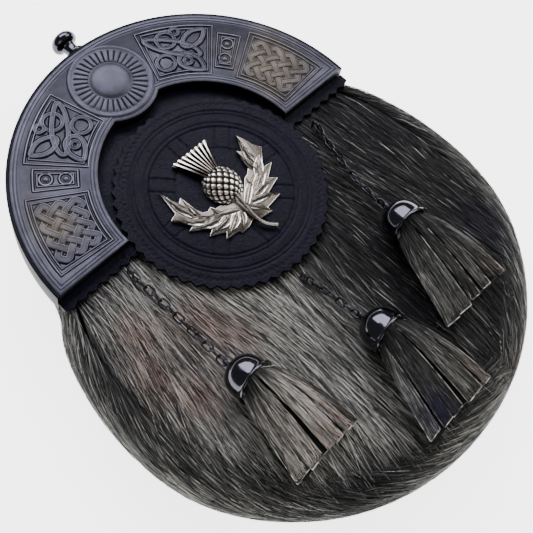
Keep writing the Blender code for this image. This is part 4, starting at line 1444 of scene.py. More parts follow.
@dataclass
class HairCoat:
    """Hairs that grow out of a hide and lie along it, gathered in locks."""

    name: str
    count: int
    length: Point
    width: float
    rise: Point
    marking: Marking
    flow: Reading
    keep: Sieve
    locks: int = 5200
    lock_pull: float = 0.3
    wander: float = 0.07
    tone_spread: float = 0.42
    lock_spread: float = 0.2
    dark_share: float = 0.35
    level: float = 1.0
    frost: float = 0.0
    roll: float = 0.4
    foot: float = -math.inf
    rows: int = 3
    seed: int = SEED

    def roots(self, hide: Mesh, random: np.random.Generator) -> tuple[Array, Array]:
        """Scatter roots over the kept faces of a hide.

        Args:
            hide: the mesh.
            random: the source of chance.

        Returns:
            Places and normals as rows.
        """
        hide.calc_loop_triangles()
        corners = np.empty(3 * len(hide.loop_triangles), dtype=np.int32)
        hide.loop_triangles.foreach_get("vertices", corners)
        spots = places(hide)[corners.reshape(-1, 3)]
        normals = np.cross(spots[:, 1] - spots[:, 0], spots[:, 2] - spots[:, 0])
        area = np.linalg.norm(normals, axis=1)
        normals = normals / np.maximum(area, 1e-9)[:, None]
        kept = [self.keep(spots[:, corner], normals) for corner in range(3)]
        area = area * np.any([self.keep(spots.mean(axis=1), normals), *kept], axis=0)
        chosen = random.choice(len(area), 2 * self.count, p=area / area.sum())
        mix = random.random((2 * self.count, 2))
        flip = mix.sum(axis=1) > 1
        mix[flip] = 1 - mix[flip]
        a, b, c = spots[chosen, 0], spots[chosen, 1], spots[chosen, 2]
        where = a + (b - a) * mix[:, :1] + (c - a) * mix[:, 1:]
        inside = np.flatnonzero(self.keep(where, normals[chosen]))[:self.count]
        return where[inside], normals[chosen][inside]

    def grow(self, hide: Mesh, surface: BVHTree) -> Mesh:
        """Grow the hairs as thin blades.

        Args:
            hide: the mesh that carries the roots.
            surface: what the hairs lie along.

        Returns:
            One mesh with the hairs' tone, warmth, violet and place along them.
        """
        random = np.random.default_rng(self.seed)
        where, normals = self.roots(hide, random)
        count = len(where)
        heading = self.flow(where)
        centres = random.choice(count, min(self.locks, count), replace=False)
        tree = kdtree.KDTree(len(centres))
        for k, index in enumerate(centres):
            tree.insert(where[index], k)
        tree.balance()
        lock = np.array([tree.find(spot)[1] for spot in where])
        length = random.uniform(*self.length, count)
        lock_turn = random.normal(0, self.wander, len(centres))[lock]
        turn = lock_turn + random.normal(0, self.wander * 0.5, count)
        cos, sin = np.cos(turn), np.sin(turn)
        x, y = heading[:, 0].copy(), heading[:, 1].copy()
        heading[:, 0], heading[:, 1] = x * cos - y * sin, x * sin + y * cos
        pull = (where[centres][lock] - where) * self.lock_pull
        rise = random.uniform(*self.rise, count)
        curl = random.normal(0, 0.05, count)

        line, side = self.laid(surface, where, normals, heading, length, pull, rise, curl)
        ahead = np.empty_like(line)
        ahead[:, :-1] = line[:, 1:] - line[:, :-1]
        ahead[:, -1] = ahead[:, -2]
        ahead /= np.maximum(np.linalg.norm(ahead, axis=2, keepdims=True), 1e-6)
        line[:, :, 1] = np.maximum(line[:, :, 1], self.foot)
        line[:, :, 2] = np.maximum(line[:, :, 2], HAIR_FLOOR)
        roll = random.normal(0, self.roll, (count, 1, 1))
        up = np.cross(ahead, side)
        across = side * np.cos(roll) + up * np.sin(roll)
        share = np.linspace(0, 1, self.rows)
        width = self.width * random.uniform(0.6, 1.3, (count, 1)) * (1 - 0.75 * share ** 1.6)
        across = across * (width / 2)[:, :, None]
        blades = np.stack((line - across, line + across), axis=2)

        tone, warm, violet = self.marking.read(where)
        tone = tone * self.level
        lock_tone = random.normal(0, self.lock_spread, len(centres))[lock]
        dull = np.where(random.random(count) < self.dark_share, 0.4, 1.0)
        tone = tone * (1 + lock_tone + random.normal(0, self.tone_spread, count)) * dull
        pale = random.exponential(1.0, count) * (random.random(count) < 0.4)
        tone = np.clip(tone + self.frost * pale, 0.02, 1.2)
        mesh = self.blade_mesh(blades.reshape(-1, 3), count)
        each = 2 * self.rows
        store(mesh, "tone", np.repeat(tone, each))
        store(mesh, "warm", np.repeat(warm * random.uniform(0.5, 1.0, count), each))
        store(mesh, "violet", np.repeat(violet * random.uniform(0.5, 1.0, count), each))
        store(mesh, "along", np.tile(np.repeat(share, 2), count))
        return mesh

    def laid(self, surface: BVHTree, where: Array, normals: Array, heading: Array,
             length: Array, pull: Array, rise: Array, curl: Array
             ) -> tuple[Array, Array]:
        """Lay each hair along the surface, step by step.

        Args:
            surface: what the hairs lie along.
            where: their roots.
            normals: the surface's directions there.
            heading: which way they run.
            length: how long they are.
            pull: their lean to the middle of a lock.
            rise: their height off the surface.
            curl: their bend sideways.

        Returns:
            The places along each hair and its sideways direction at them.
        """
        steps = self.rows - 1
        line = np.empty((len(where), self.rows, 3), dtype=np.float32)
        side = np.empty_like(line)
        for k in range(len(where)):
            spot, normal, along = Vector(where[k]), Vector(normals[k]), Vector(heading[k])
            lean = Vector(pull[k]) / steps
            for row in range(self.rows):
                if row:
                    along = (along - normal * along.dot(normal)).normalized()
                    across = normal.cross(along)
                    moved = spot + (along + across * curl[k]) * (length[k] / steps) + lean
                    spot, normal = surface.find_nearest(moved)[:2]
                along = (along - normal * along.dot(normal)).normalized()
                lift = rise[k] * (0.12 + 0.88 * math.sin(math.pi * 0.62 * (row / steps)))
                line[k, row] = spot + normal * lift
                side[k, row] = normal.cross(along)
        return line, side

    def blade_mesh(self, spots: Array, count: int) -> Mesh:
        """Join blades of one strip of quads each.

        Args:
            spots: the blades' vertices, in pairs from root to tip.
            count: how many blades there are.

        Returns:
            The mesh.
        """
        pairs = np.arange(self.rows - 1) * 2
        strip = np.stack((pairs, pairs + 1, pairs + 3, pairs + 2), axis=1)
        faces = strip[None] + (np.arange(count) * 2 * self.rows)[:, None, None]
        corners = faces.reshape(-1).astype(np.int32)
        total = len(corners) // 4
        mesh = bpy.data.meshes.new(self.name)
        mesh.vertices.add(len(spots))
        mesh.vertices.foreach_set("co", spots.reshape(-1).astype(np.float32))
        mesh.loops.add(len(corners))
        mesh.loops.foreach_set("vertex_index", corners)
        mesh.polygons.add(total)
        mesh.polygons.foreach_set("loop_start", np.arange(total, dtype=np.int32) * 4)
        mesh.update(calc_edges=True)
        mesh.validate()
        return mesh


@dataclass
class Pelt:
    """One hide of the pouch: its CAD node, its looks and the two coats on it."""

    name: str
    node: str
    tone: Reading
    flow: Reading
    keep: Sieve
    # columns: number of hairs, shortest and longest, width, lowest and highest rise
    under: tuple
    over: tuple
    seed: int

    def coats(self, patches: tuple[Patch, ...]) -> tuple[HairCoat, HairCoat]:
        """The dull undercoat in dense locks and the frosted coat over it.

        Args:
            patches: the pouch's patches.

        Returns:
            Both coats.
        """
        looks = (Marking(self.tone, patches), self.flow, self.keep)
        return (HairCoat(f"{self.name}_undercoat", *self.under, *looks, seed=self.seed,
                         lock_pull=0.5, locks=3600, level=0.7),
                HairCoat(f"{self.name}_coat", *self.over, *looks, seed=self.seed + 2, frost=0.18))


@dataclass
class FurPouch:
    """The hides of the front and of the band round it, with their hair."""

    hair: Material
    meeting_x: float = 30.0
    # The front seam on the right side, from the mouth to the foot.
    seam: Outline = (
        (75.6, 12), (76.0, 5), (79.6, -2), (83.8, -14.5), (85.6, -32), (86, -54), (82.3, -71.5),
        (75.5, -86), (64, -101.5), (49.5, -113.7), (33, -122.4), (16.5, -126.6), (0, -128),
    )
    patches: tuple[Patch, ...] = (
        Patch(-62, -16, 22, 22, tone=0.14), Patch(-66, -11, 7, 9, warm=0.8, tone=-0.06),
        Patch(-73, -31, 9, 10, warm=0.9, tone=-0.14), Patch(-45, -28, 8, 12, warm=0.8),
        Patch(-65, -48, 8, 7, warm=0.9, tone=-0.12), Patch(-56, -22, 8, 10, warm=0.3, tone=-0.1),
        Patch(-38, -41, 7, 8, warm=0.5), Patch(-42, -50, 13, 13, tone=0.1),
        Patch(-60, -60, 22, 14, tone=0.12), Patch(72, -74, 9, 12, violet=1.0, tone=-0.06),
        Patch(35, -126, 9, 5, warm=0.7, tone=0.05),
        # Painted shade on the fur: the darker patches under the left and middle caps at (-51, -63)
        # and (0, -85), and the one at (28, -85) beside the right tassel, which is also a little
        # violet.
        Patch(28, -85, 9, 14, violet=0.25, tone=-0.12), Patch(-12, -95, 12, 16, tone=0.02),
        Patch(-51, -63, 11, 12, tone=-0.3), Patch(0, -85, 11, 12, tone=-0.25),
        Patch(-15, -68, 12, 14, tone=-0.15), Patch(70, -8, 14, 12, tone=-0.22),
        Patch(-88, -55, 12, 50, tone=-0.1), Patch(-46, -114, 30, 13, tone=-0.37),
    )

    def seam_shade(self, where: Array, depth: float = 0.5, reach: float = 9.0) -> Array:
        """How much the coat darkens in the valley along the seam, with a ragged edge."""
        line = np.array(self.seam)
        fine = np.concatenate([np.linspace(a, b, 12) for a, b in zip(line, line[1:])])
        spots = np.stack((np.abs(where[:, 0]), where[:, 1]), axis=1)
        gap = np.sqrt(((spots[:, None] - fine[None]) ** 2).sum(axis=2).min(axis=1))
        gap = gap + 1.2 * np.sin(where[:, 0] / 1.9) * np.sin(where[:, 1] / 2.7)
        return 1 - depth * np.exp(-(gap / reach) ** 2)

    def front_tone(self, where: Array) -> Array:
        """Pale on the upper left, charcoal on the right."""
        across = np.clip((where[:, 0] + 16) / 34, 0, 1)
        across = across * across * (3 - 2 * across)
        return (0.69 - 0.6 * across) * self.seam_shade(where)

    def band_tone(self, where: Array) -> Array:
        """Dark charcoal, a little paler on the left."""
        base = 0.55 - 0.06 * np.clip((where[:, 0] + 60) / 120, 0, 1)
        return base * self.seam_shade(where, 0.42, 6.0)

    def front_flow(self, where: Array) -> Array:
        """The front's hair runs down to the foot, leaning out a little at the sides."""
        x, y = where[:, 0], where[:, 1]
        lean = -0.12 * np.exp(-((x + 70) / 25) ** 2) + 0.10 * np.exp(-((x - 70) / 25) ** 2)
        lean = lean + 0.16 * np.sin(x / 13 + 1.3) * np.sin(y / 21)
        return unit(np.stack((lean, -np.ones_like(x), np.zeros_like(x)), axis=1))

    def band_flow(self, where: Array) -> Array:
        """The band's hair runs round from both sides, and where they meet it turns outwards.

        Args:
            where: rows of x, y and z.

        Returns:
            A direction for each.
        """
        x, y = where[:, 0], where[:, 1]
        out = unit(np.stack((x, y + 45), axis=1))
        around = np.stack((-out[:, 1], out[:, 0]), axis=1)
        turn = np.where(y > 60, -1.0, np.clip((self.meeting_x - x) / 15, -1, 1))
        meet = 1 - np.abs(turn)
        flow = around * turn[:, None] + out * (0.22 + 0.5 * meet)[:, None]
        return unit(np.concatenate((flow, -0.4 * meet[:, None]), axis=1))

    def front_keep(self, where: Array, normals: Array) -> Array:
        """Only the front's face below the leather."""
        radius = np.hypot(where[:, 0], where[:, 1])
        return (normals[:, 2] > 0.3) & (where[:, 1] < 4.5) & (radius > 38)

    def band_keep(self, where: Array, normals: Array) -> Array:
        """The band's outer side, and not its inside or its ends."""
        out = unit(where[:, :2] - np.array((0.0, -30.0)))
        outward = (normals[:, :2] * out).sum(axis=1)
        outside = (outward > 0.15) | (normals[:, 2] > 0.6)
        return outside & (where[:, 1] < 66) & (where[:, 2] > -27.6)

    def build(self) -> list[Object]:
        """Both hides and their coats.

        Returns:
            The new pieces.
        """
        pelts = (
            Pelt("front", "fur_front", self.front_tone, self.front_flow, self.front_keep,
                 (46000, (10.0, 17.0), 0.4, (0.2, 0.9)),
                 (18000, (11.0, 20.0), 0.34, (0.9, 2.0)), SEED),
            Pelt("band", "gusset", self.band_tone, self.band_flow, self.band_keep,
                 (44000, (10.0, 18.0), 0.42, (0.2, 0.9)),
                 (16000, (11.0, 20.0), 0.35, (0.8, 1.8)), SEED + 1),
        )
        skins = [subdivided(node_copy(pelt.node)) for pelt in pelts]
        surface = BVHTree.FromBMesh(gathered(skins))
        pieces = []
        for pelt, skin in zip(pelts, skins):
            for coat in pelt.coats(self.patches):
                pieces.append(finish_piece(coat.name, coat.grow(skin, surface), [self.hair],
                                           (), 180))
            # The hides under the hairs take the coat's marking at six tenths of its tone, and an
            # along of 0.1, so that the root's painted shade darkens them too.
            tone, warm, violet = coat.marking.read(places(skin))
            for name, values in (("tone", np.clip(tone * 0.6, 0, 1)), ("warm", warm),
                                 ("violet", violet), ("along", 0.1)):
                store(skin, name, values)
            pieces.append(finish_piece(f"{pelt.name}_hide", skin, [self.hair],
                                       [pelt.node], 60))
        return pieces


# ---- drops

@dataclass(frozen=True)
class Strip:
    """A strip of hide at its cut end: its sides, its top, whether its right edge shows its flesh,
    and its tone.
    """

    left: float
    right: float
    height: float
    fleshed: bool = False
    tone: float = 1.0

    @property
    def middle(self) -> float:
        """Halfway between its sides."""
        return (self.left + self.right) / 2


@dataclass
class Drop:
    """A staple, a chain, a cap and a tassel, from where the chain hangs to the cut ends."""

    name: str
    top: Point
    bow: float
    links: int
    rim: Point
    heading: float
    end_y: float
    left: float
    right: float
    pale: bool
    strips: tuple[Strip, ...]
    plate: Material
    wire: Material
    hair: Material
    edge: Material
    rim_z: float = 7.4
    tilt: float = 14.0
    cap_height: float = 12.6
    loop_r: float = 1.7
    link_wire: float = 0.42
    link_half_width: float = 1.48
    link_reach: float = 2.4
    bell: Outline = (
        (0, 12.6), (1.8, 12.5), (3.4, 12.15), (4.9, 11.4), (6.2, 10.3), (7.2, 8.9), (7.85, 7.4),
        (8.2, 5.6), (8.35, 3.8), (8.4, 2.2), (8.5, 1.3), (8.75, 0.9), (9.0, 0.75), (9.05, 0.4),
        (8.9, 0.1), (8.5, 0.0), (7.9, 0.1), (7.6, 2.0), (7.3, 5.5), (6.6, 8.0), (4.8, 10.0),
        (2.5, 11.2), (0, 11.5),
    )
    head: Outline = ((0, 7.0), (4.4, 6.6), (5.6, 4.0), (5.8, 0.5), (5.2, -0.8), (0, -1.0))
    # Faces along a strip, the strips' middle radius at the cap, and how far round it they start.
    strip_steps: int = 14
    strip_thickness: float = 0.9
    mouth_r: float = 7.5
    mouth_turn: float = 66.0

    @property
    def rim_centre(self) -> Vector:
        """The middle of the cap's rim."""
        return Vector((*self.rim, self.rim_z))

    @property
    def axis(self) -> Vector:
        """From the cap's rim to its apex, nose down."""
        tilt, turn = math.radians(self.tilt), math.radians(self.heading)
        return Vector((-math.sin(turn) * math.cos(tilt), math.cos(turn) * math.cos(tilt),
                       -math.sin(tilt)))

    @property
    def side(self) -> Vector:
        """The level direction across the cap."""
        return self.axis.cross(UP).normalized()

    @property
    def seat(self) -> Matrix:
        """Where the cap and the tassel's head go."""
        return turned_to(self.rim_centre, self.axis, "Z", "X")

    @property
    def loop_centre(self) -> Vector:
        """The middle of the loop on the cap's apex."""
        return self.rim_centre + self.axis * (self.cap_height + self.loop_r - 0.2)

    @property
    def middle(self) -> float:
        """The tassel's middle at its cut ends."""
        return (self.left + self.right) / 2

    @property
    def spread(self) -> float:
        """Half of the tassel's width there."""
        return (self.right - self.left) / 2

    @property
    def fall(self) -> float:
        """The tassel's length from the rim."""
        return self.rim[1] - self.end_y

    def metal_piece(self, name: str, node: str, mesh: Mesh, metal: Material, smooth: float
                    ) -> Object:
        """Finish one of the drop's metal parts.

        Args:
            name: what it is.
            node: the CAD node's name, without the drop's.
            mesh: its shape.
            metal: what it is made of.
            smooth: faces are smooth up to this angle.

        Returns:
            The new piece.
        """
        return finish_piece(f"{name}_{self.name}", mesh, [metal],
                            [f"{node}_{self.name}"], smooth)

    def link(self, centre: Vector, along: Vector, sideways: Vector, half_length: float) -> Mesh:
        """One oval link of round wire.

        Args:
            centre: its middle.
            along: its long direction.
            sideways: its wide direction.
            half_length: from its middle to the wire's centre at an end.

        Returns:
            A closed mesh.
        """
        shape = wire_ring(self.link_half_width, self.link_wire, 20)
        for vert in shape.verts:
            if abs(vert.co.y) > 1e-4:
                vert.co.y += math.copysign(half_length - self.link_half_width, vert.co.y)
        shape.transform(standing(centre, sideways, along))
        return to_mesh(shape)

    def chain(self) -> Object:
        """Interlocked links from the staple to the cap's loop.

        Returns:
            The new piece.
        """
        first = Vector((self.top[0], self.top[1] - self.link_reach, -0.4))
        last = self.loop_centre + self.axis * self.link_reach
        gaps = self.links - 1
        half_length = ((last - first).length / gaps + 2 * self.link_wire) / 2
        sag = Vector((self.bow * 2, 0, min(first.z, last.z) - (first.z + last.z) / 2))
        centres = [first.lerp(last, k / gaps) + sag * 2 * (k / gaps) * (1 - k / gaps)
                   for k in range(self.links)]
        random = np.random.default_rng(SEED + len(self.name))
        meshes = []
        for k, centre in enumerate(centres):
            along = (centres[min(k + 1, gaps)] - centres[max(k - 1, 0)]).normalized()
            flat = along.cross(UP).normalized()
            odd = k % 2
            lean = Matrix.Rotation(random.uniform(-0.45, 0.45) + 0.5 * odd, 3, along)
            sideways = lean @ (flat.cross(along) if odd else flat)
            meshes.append(self.link(centre, along, sideways, half_length))
        return self.metal_piece("links", "chain", joined(meshes), self.wire, 60)

    def staple(self) -> Object:
        """The bent wire in the hide that the chain hangs on.

        Returns:
            The new piece.
        """
        line = [(self.top[0], self.top[1] + 1.5 * across, -3.9 + 5.1 * rise)
                for across, rise in ((-1, 0), (-1, 0.5), (-1, 0.85), (-0.7, 1), (0.7, 1),
                                     (1, 0.85), (1, 0.5), (1, 0))]
        mesh = sweep(line, round_section(0.5, 0.5, 8), smooth=4)
        return self.metal_piece("staple", "chain_staple", mesh, self.wire, 60)

    def cap(self) -> Object:
        """The polished bell with its flared rim and the loop on its apex.

        Returns:
            The new piece.
        """
        bell = spun([(1.05 * radius, up) for radius, up in self.bell], 56, self.seat)
        bmesh.ops.create_uvsphere(bell, u_segments=12, v_segments=8, radius=0.9,
                                  matrix=self.seat @ Matrix.Translation((0, 0, 12.7)))
        ring = wire_ring(self.loop_r, 0.5, 24)
        ring.transform(standing(self.loop_centre, self.axis, self.side.cross(self.axis)))
        mesh = joined([to_mesh(bell), to_mesh(ring)])
        return self.metal_piece("bell", "tassel_cap", mesh, self.plate, 45)

    def strip(self, cut: Strip, share: float = 1.0, columns: int = 6, out: float = 6.9) -> Mesh:
        """One strip of hide, fanned out of the cap and lying down towards its cut end.

        Args:
            cut: the strip at its cut end.
            share: how much of its width is drawn.
            columns: faces across it.
            out: how far from the cap's axis it starts.

        Returns:
            A thin bent bar whose cut edges have the second material.
        """
        side, up = self.side, self.side.cross(self.axis)
        width = (cut.right - cut.left) / (self.right - self.left)
        fan = (cut.middle - self.left) / (self.right - self.left) * 2 - 1
        turn = math.radians(self.mouth_turn) * max(-1.0, min(1.0, fan))
        start = self.rim_centre + self.axis * 1.6
        start += (side * math.sin(turn) + up * math.cos(turn)) * out
        end = Vector((cut.middle, self.end_y + 0.35 * math.sin(cut.left), cut.height))
        narrow = min(5.0, max(1.7, 10.5 * width))
        shape = bmesh.new()
        bmesh.ops.create_grid(shape, x_segments=columns, y_segments=self.strip_steps, size=0.5)
        for vert in shape.verts:
            u, v = vert.co.x * 2 * share, vert.co.y + 0.5
            centre = start.lerp(end, v) + Vector((0, 0, 1.6 * math.sin(math.pi * v)))
            centre.x = start.x + (end.x - start.x) * v ** FAN
            half = narrow + ((cut.right - cut.left) / 2 - narrow) * v ** 0.75
            roll = turn * (1 - v) ** 2.4
            across = side * math.cos(roll) - up * math.sin(roll)
            vert.co = centre + across * (u * half) - Vector((0, 0, 0.35 * u * u * (1 - 0.6 * v)))
        bmesh.ops.recalc_face_normals(shape, faces=shape.faces)
        if sum(face.normal.z for face in shape.faces) < 0:
            bmesh.ops.reverse_faces(shape, faces=shape.faces)
        bmesh.ops.solidify(shape, geom=shape.faces[:], thickness=self.strip_thickness)
        bmesh.ops.recalc_face_normals(shape, faces=shape.faces)
        for face in shape.faces:
            face.material_index = 0 if face.normal.z > 0.5 else 1
        return to_mesh(shape)

    def flesh(self, places: Iterable[Vector], across: float, up: float) -> Mesh:
        """A line of the pale flesh that shows at a strip's edge.

        Args:
            places: the line.
            across: half of its width.
            up: half of its height.

        Returns:
            A thin round line with the second material.
        """
        mesh = sweep([tuple(place) for place in places], round_section(across, up, 6))
        paint(mesh, 1)
        return mesh

    def bead(self, cut: Strip) -> Mesh:
        """The pale flesh along the right side of a strip.

        Args:
            cut: the strip at its cut end.

        Returns:
            A thin line with the second material.
        """
        bar = self.strip(cut, columns=1)
        top = [vert.co for vert in bar.vertices[:2 * (self.strip_steps + 1)]]
        rows = sorted(top, key=lambda place: -place.y)
        line = [max(pair, key=lambda place: place.x) for pair in zip(rows[0::2], rows[1::2])]
        return self.flesh([place + UP * 0.05 for place in line[3:]], 0.22, 0.28)

    def hem(self, cut: Strip) -> Mesh:
        """The pale flesh along a strip's cut end.

        Args:
            cut: the strip at its cut end.

        Returns:
            A thin line with the second material.
        """
        bar = self.strip(cut)
        top = [vert.co for vert in bar.vertices[:7 * (self.strip_steps + 1)]]
        last = sorted(top, key=lambda place: place.y)[:7]
        return self.flesh(sorted(last, key=lambda place: place.x), 0.26, 0.26)

    def fanned(self, where: Array) -> tuple[Array, Array, Array]:
        """Where places lie in the tassel's fan.

        Args:
            where: rows of x, y and z.

        Returns:
            Their share of the way down, their share of the way from the middle to a side, and
            where along X they lead to at the cut ends.
        """
        share = np.clip((self.rim[1] - where[:, 1]) / self.fall, 0, 1)
        across = ((where[:, 0] - self.rim[0] - (self.middle - self.rim[0]) * share)
                  / (self.mouth_r + (self.spread - self.mouth_r) * share ** FAN))
        return share, across, self.middle + across * self.spread

    def flow(self, where: Array) -> Array:
        """The hair runs down along the fan.

        Args:
            where: rows of x, y and z.

        Returns:
            A direction for each.
        """
        share, across, _ = self.fanned(where)
        lean = across * (self.spread - self.mouth_r) / self.fall
        lean *= FAN * np.maximum(share, 0.1) ** (FAN - 1)
        lean += (self.middle - self.rim[0]) / self.fall
        return unit(np.stack((lean, -np.ones_like(lean), np.full_like(lean, -0.15)), axis=1))

    def keep(self, where: Array, normals: Array) -> Array:
        """Only the strips' upper sides, short of their cut ends."""
        return (normals[:, 2] > 0.0) & (where[:, 1] > self.end_y + 2.0)

    def tone(self, where: Array) -> Array:
        """Each strip's own tone, painted darker by the cap as its shade, and a little lighter
        towards the cut end.

        Args:
            where: rows of x, y and z.

        Returns:
            A tone for each.
        """
        down, _, foot = self.fanned(where)
        middles = np.array([strip.middle for strip in self.strips])
        nearest = np.abs(foot[:, None] - middles[None]).argmin(axis=1)
        base = np.array([strip.tone for strip in self.strips])[nearest]
        return base * (0.6 + 0.4 * np.clip(down * 5, 0, 1)) * (0.9 + 0.2 * down)

    def marking(self) -> Marking:
        """The tassel's tones and its soft patches: brown on a pale one, violet on the middle one.

        Returns:
            The marking.
        """
        pale, middle, end_y = self.pale, self.middle, self.end_y
        return Marking(self.tone, (
            Patch(middle, end_y + 18, 22, 34, warm=0.22 * pale, tone=0.05 * pale),
            Patch(middle + 2, end_y + 9, 5, 10, warm=0.35 if pale else 0.1),
            Patch(self.right - 4, end_y + 10, 4, 14, warm=0.6, tone=-0.1 if pale else 0.04),
            Patch(self.left + 11, end_y + 12, 6, 11, violet=float(self.name == "middle")),
        ))

    def tassel(self) -> list[Object]:
        """The strips with their cut edges, and the hair on them.

        Returns:
            The strips' piece and the hair's.
        """
        strips = [self.strip(cut) for cut in self.strips]
        roots = joined([self.strip(cut, 0.88) for cut in self.strips])
        surface = BVHTree.FromBMesh(gathered(strips))
        beads = [self.bead(cut) for cut in self.strips if cut.fleshed]
        hems = [self.hem(cut) for cut in self.strips]
        head = to_mesh(spun(self.head, 20, self.seat))
        shaded_under_strip = self.strip(Strip(self.left + 2.5, self.right - 2.5, 0.2), columns=12, out=2.0)
        for mesh in (head, shaded_under_strip):
            paint(mesh, 0)
            store(mesh, "deep", 1.0)
        hides = joined([*strips, *beads, *hems, head, shaded_under_strip])
        marking = self.marking()
        tone, warm, violet = marking.read(places(hides))
        # Painted shade: the strips are darkened to six tenths, and the head in the cap and the
        # strip under the others to a tenth, for the shade in the cap and in the gaps between the
        # strips.
        tone = tone * (0.6 - 0.5 * stored(hides, "deep"))
        for name, values in (("tone", tone), ("warm", warm), ("violet", violet), ("along", 0.1)):
            store(hides, name, np.clip(values, 0, 1))
        coat = HairCoat(f"tassel_coat_{self.name}", 3600, (8.0, 16.0), 0.36, (0.1, 0.5), marking,
                        self.flow, self.keep, locks=500, wander=0.04, lock_pull=0.0, frost=0.12,
                        foot=self.end_y + 0.15, seed=SEED + ord(self.name[0]))
        hair = coat.grow(roots, surface)
        bpy.data.meshes.remove(roots)
        return [finish_piece(f"strips_{self.name}", hides, [self.hair, self.edge],
                             [f"tassel_{self.name}"], 50),
                finish_piece(coat.name, hair, [self.hair], (), 180)]

    def build(self) -> list[Object]:
        """All of the drop."""
        return [self.staple(), self.chain(), self.cap(), *self.tassel()]


# ---- back

@dataclass
class BackFittings:
    """The plain hidden side: back, hanging loops, closing tab and its stud."""

    leather: Material
    thread: Material
    plate: Material
    # The back's leather parts. columns: CAD node, piece, rounding
    parts: tuple[tuple[str, str, float], ...] = (
        ("back_panel", "leather_back", 0.6), ("belt_loop_left", "hanging_loop_left", 0.5),
        ("belt_loop_right", "hanging_loop_right", 0.5), ("closing_tab", "leather_tab", 0.5),
    )
    # The seams, as x and y of their ends: across the loops, then round the tab.
    seams: Rows = (
        (-46, 66, -34, 66), (-46, 30, -34, 30), (34, 66, 46, 66), (34, 30, 46, 30),
        (-18, 38, -18, 62), (18, 38, 18, 62), (-18, 38, 18, 38),
    )
    seam_z: float = -25.42
    stitch_pitch: float = 3.0
    stud_place: Place = (0, 45.0, -25.6)
    stud_section: Outline = (
        (0, 0.0), (4.6, 0.0), (5.0, -0.2), (5.0, -0.7), (4.6, -1.1), (3.8, -1.4), (2.6, -1.9),
        (1.2, -2.15), (0, -2.2),
    )

    def softened(self, node: str, name: str, width: float) -> Object:
        """A leather part with its edges rounded.

        Args:
            node: the CAD node it stands for.
            name: the piece's name.
            width: the rounding in millimetres.

        Returns:
            The new piece.
        """
        shape = node_copy(node)
        bmesh.ops.dissolve_limit(shape, angle_limit=math.radians(2), verts=shape.verts,
                                 edges=shape.edges)
        sharp = [e for e in shape.edges if len(e.link_faces) == 2
                 and e.calc_face_angle(0.0) > math.radians(40)]
        bmesh.ops.bevel(shape, geom=sharp, offset=width, segments=3, profile=0.5, affect="EDGES",
                        material=-1, clamp_overlap=True)
        mesh = to_mesh(shape)
        return finish_piece(name, mesh, [self.leather], [node], 40)

    def stitches(self) -> Object:
        """Running stitches across the loops and round the tab.

        Returns:
            The new piece.
        """
        meshes = []
        for seam in self.seams:
            start, end = Vector((*seam[:2], self.seam_z)), Vector((*seam[2:], self.seam_z))
            count = int((end - start).length / self.stitch_pitch)
            for k in range(count):
                shape = bmesh.new()
                bmesh.ops.create_uvsphere(shape, u_segments=8, v_segments=6, radius=0.5)
                bmesh.ops.scale(shape, vec=(0.7, 2.2, 0.6), verts=shape.verts)
                middle = start.lerp(end, (k + 0.5) / count)
                shape.transform(turned_to(middle, end - start, "Y", "Z"))
                meshes.append(to_mesh(shape))
        return finish_piece("back_stitches", joined(meshes), [self.thread],
                            (), 60)

    def stud(self) -> Object:
        """The press stud's domed head.

        Returns:
            The new piece.
        """
        shape = spun(self.stud_section, 32, Matrix.Translation(self.stud_place))
        return finish_piece("press_stud", to_mesh(shape), [self.plate],
                            ["closing_stud"], 50)

    def build(self) -> list[Object]:
        """All the parts of the back."""
        return [*(self.softened(*part) for part in self.parts), self.stitches(), self.stud()]


# ---- studio

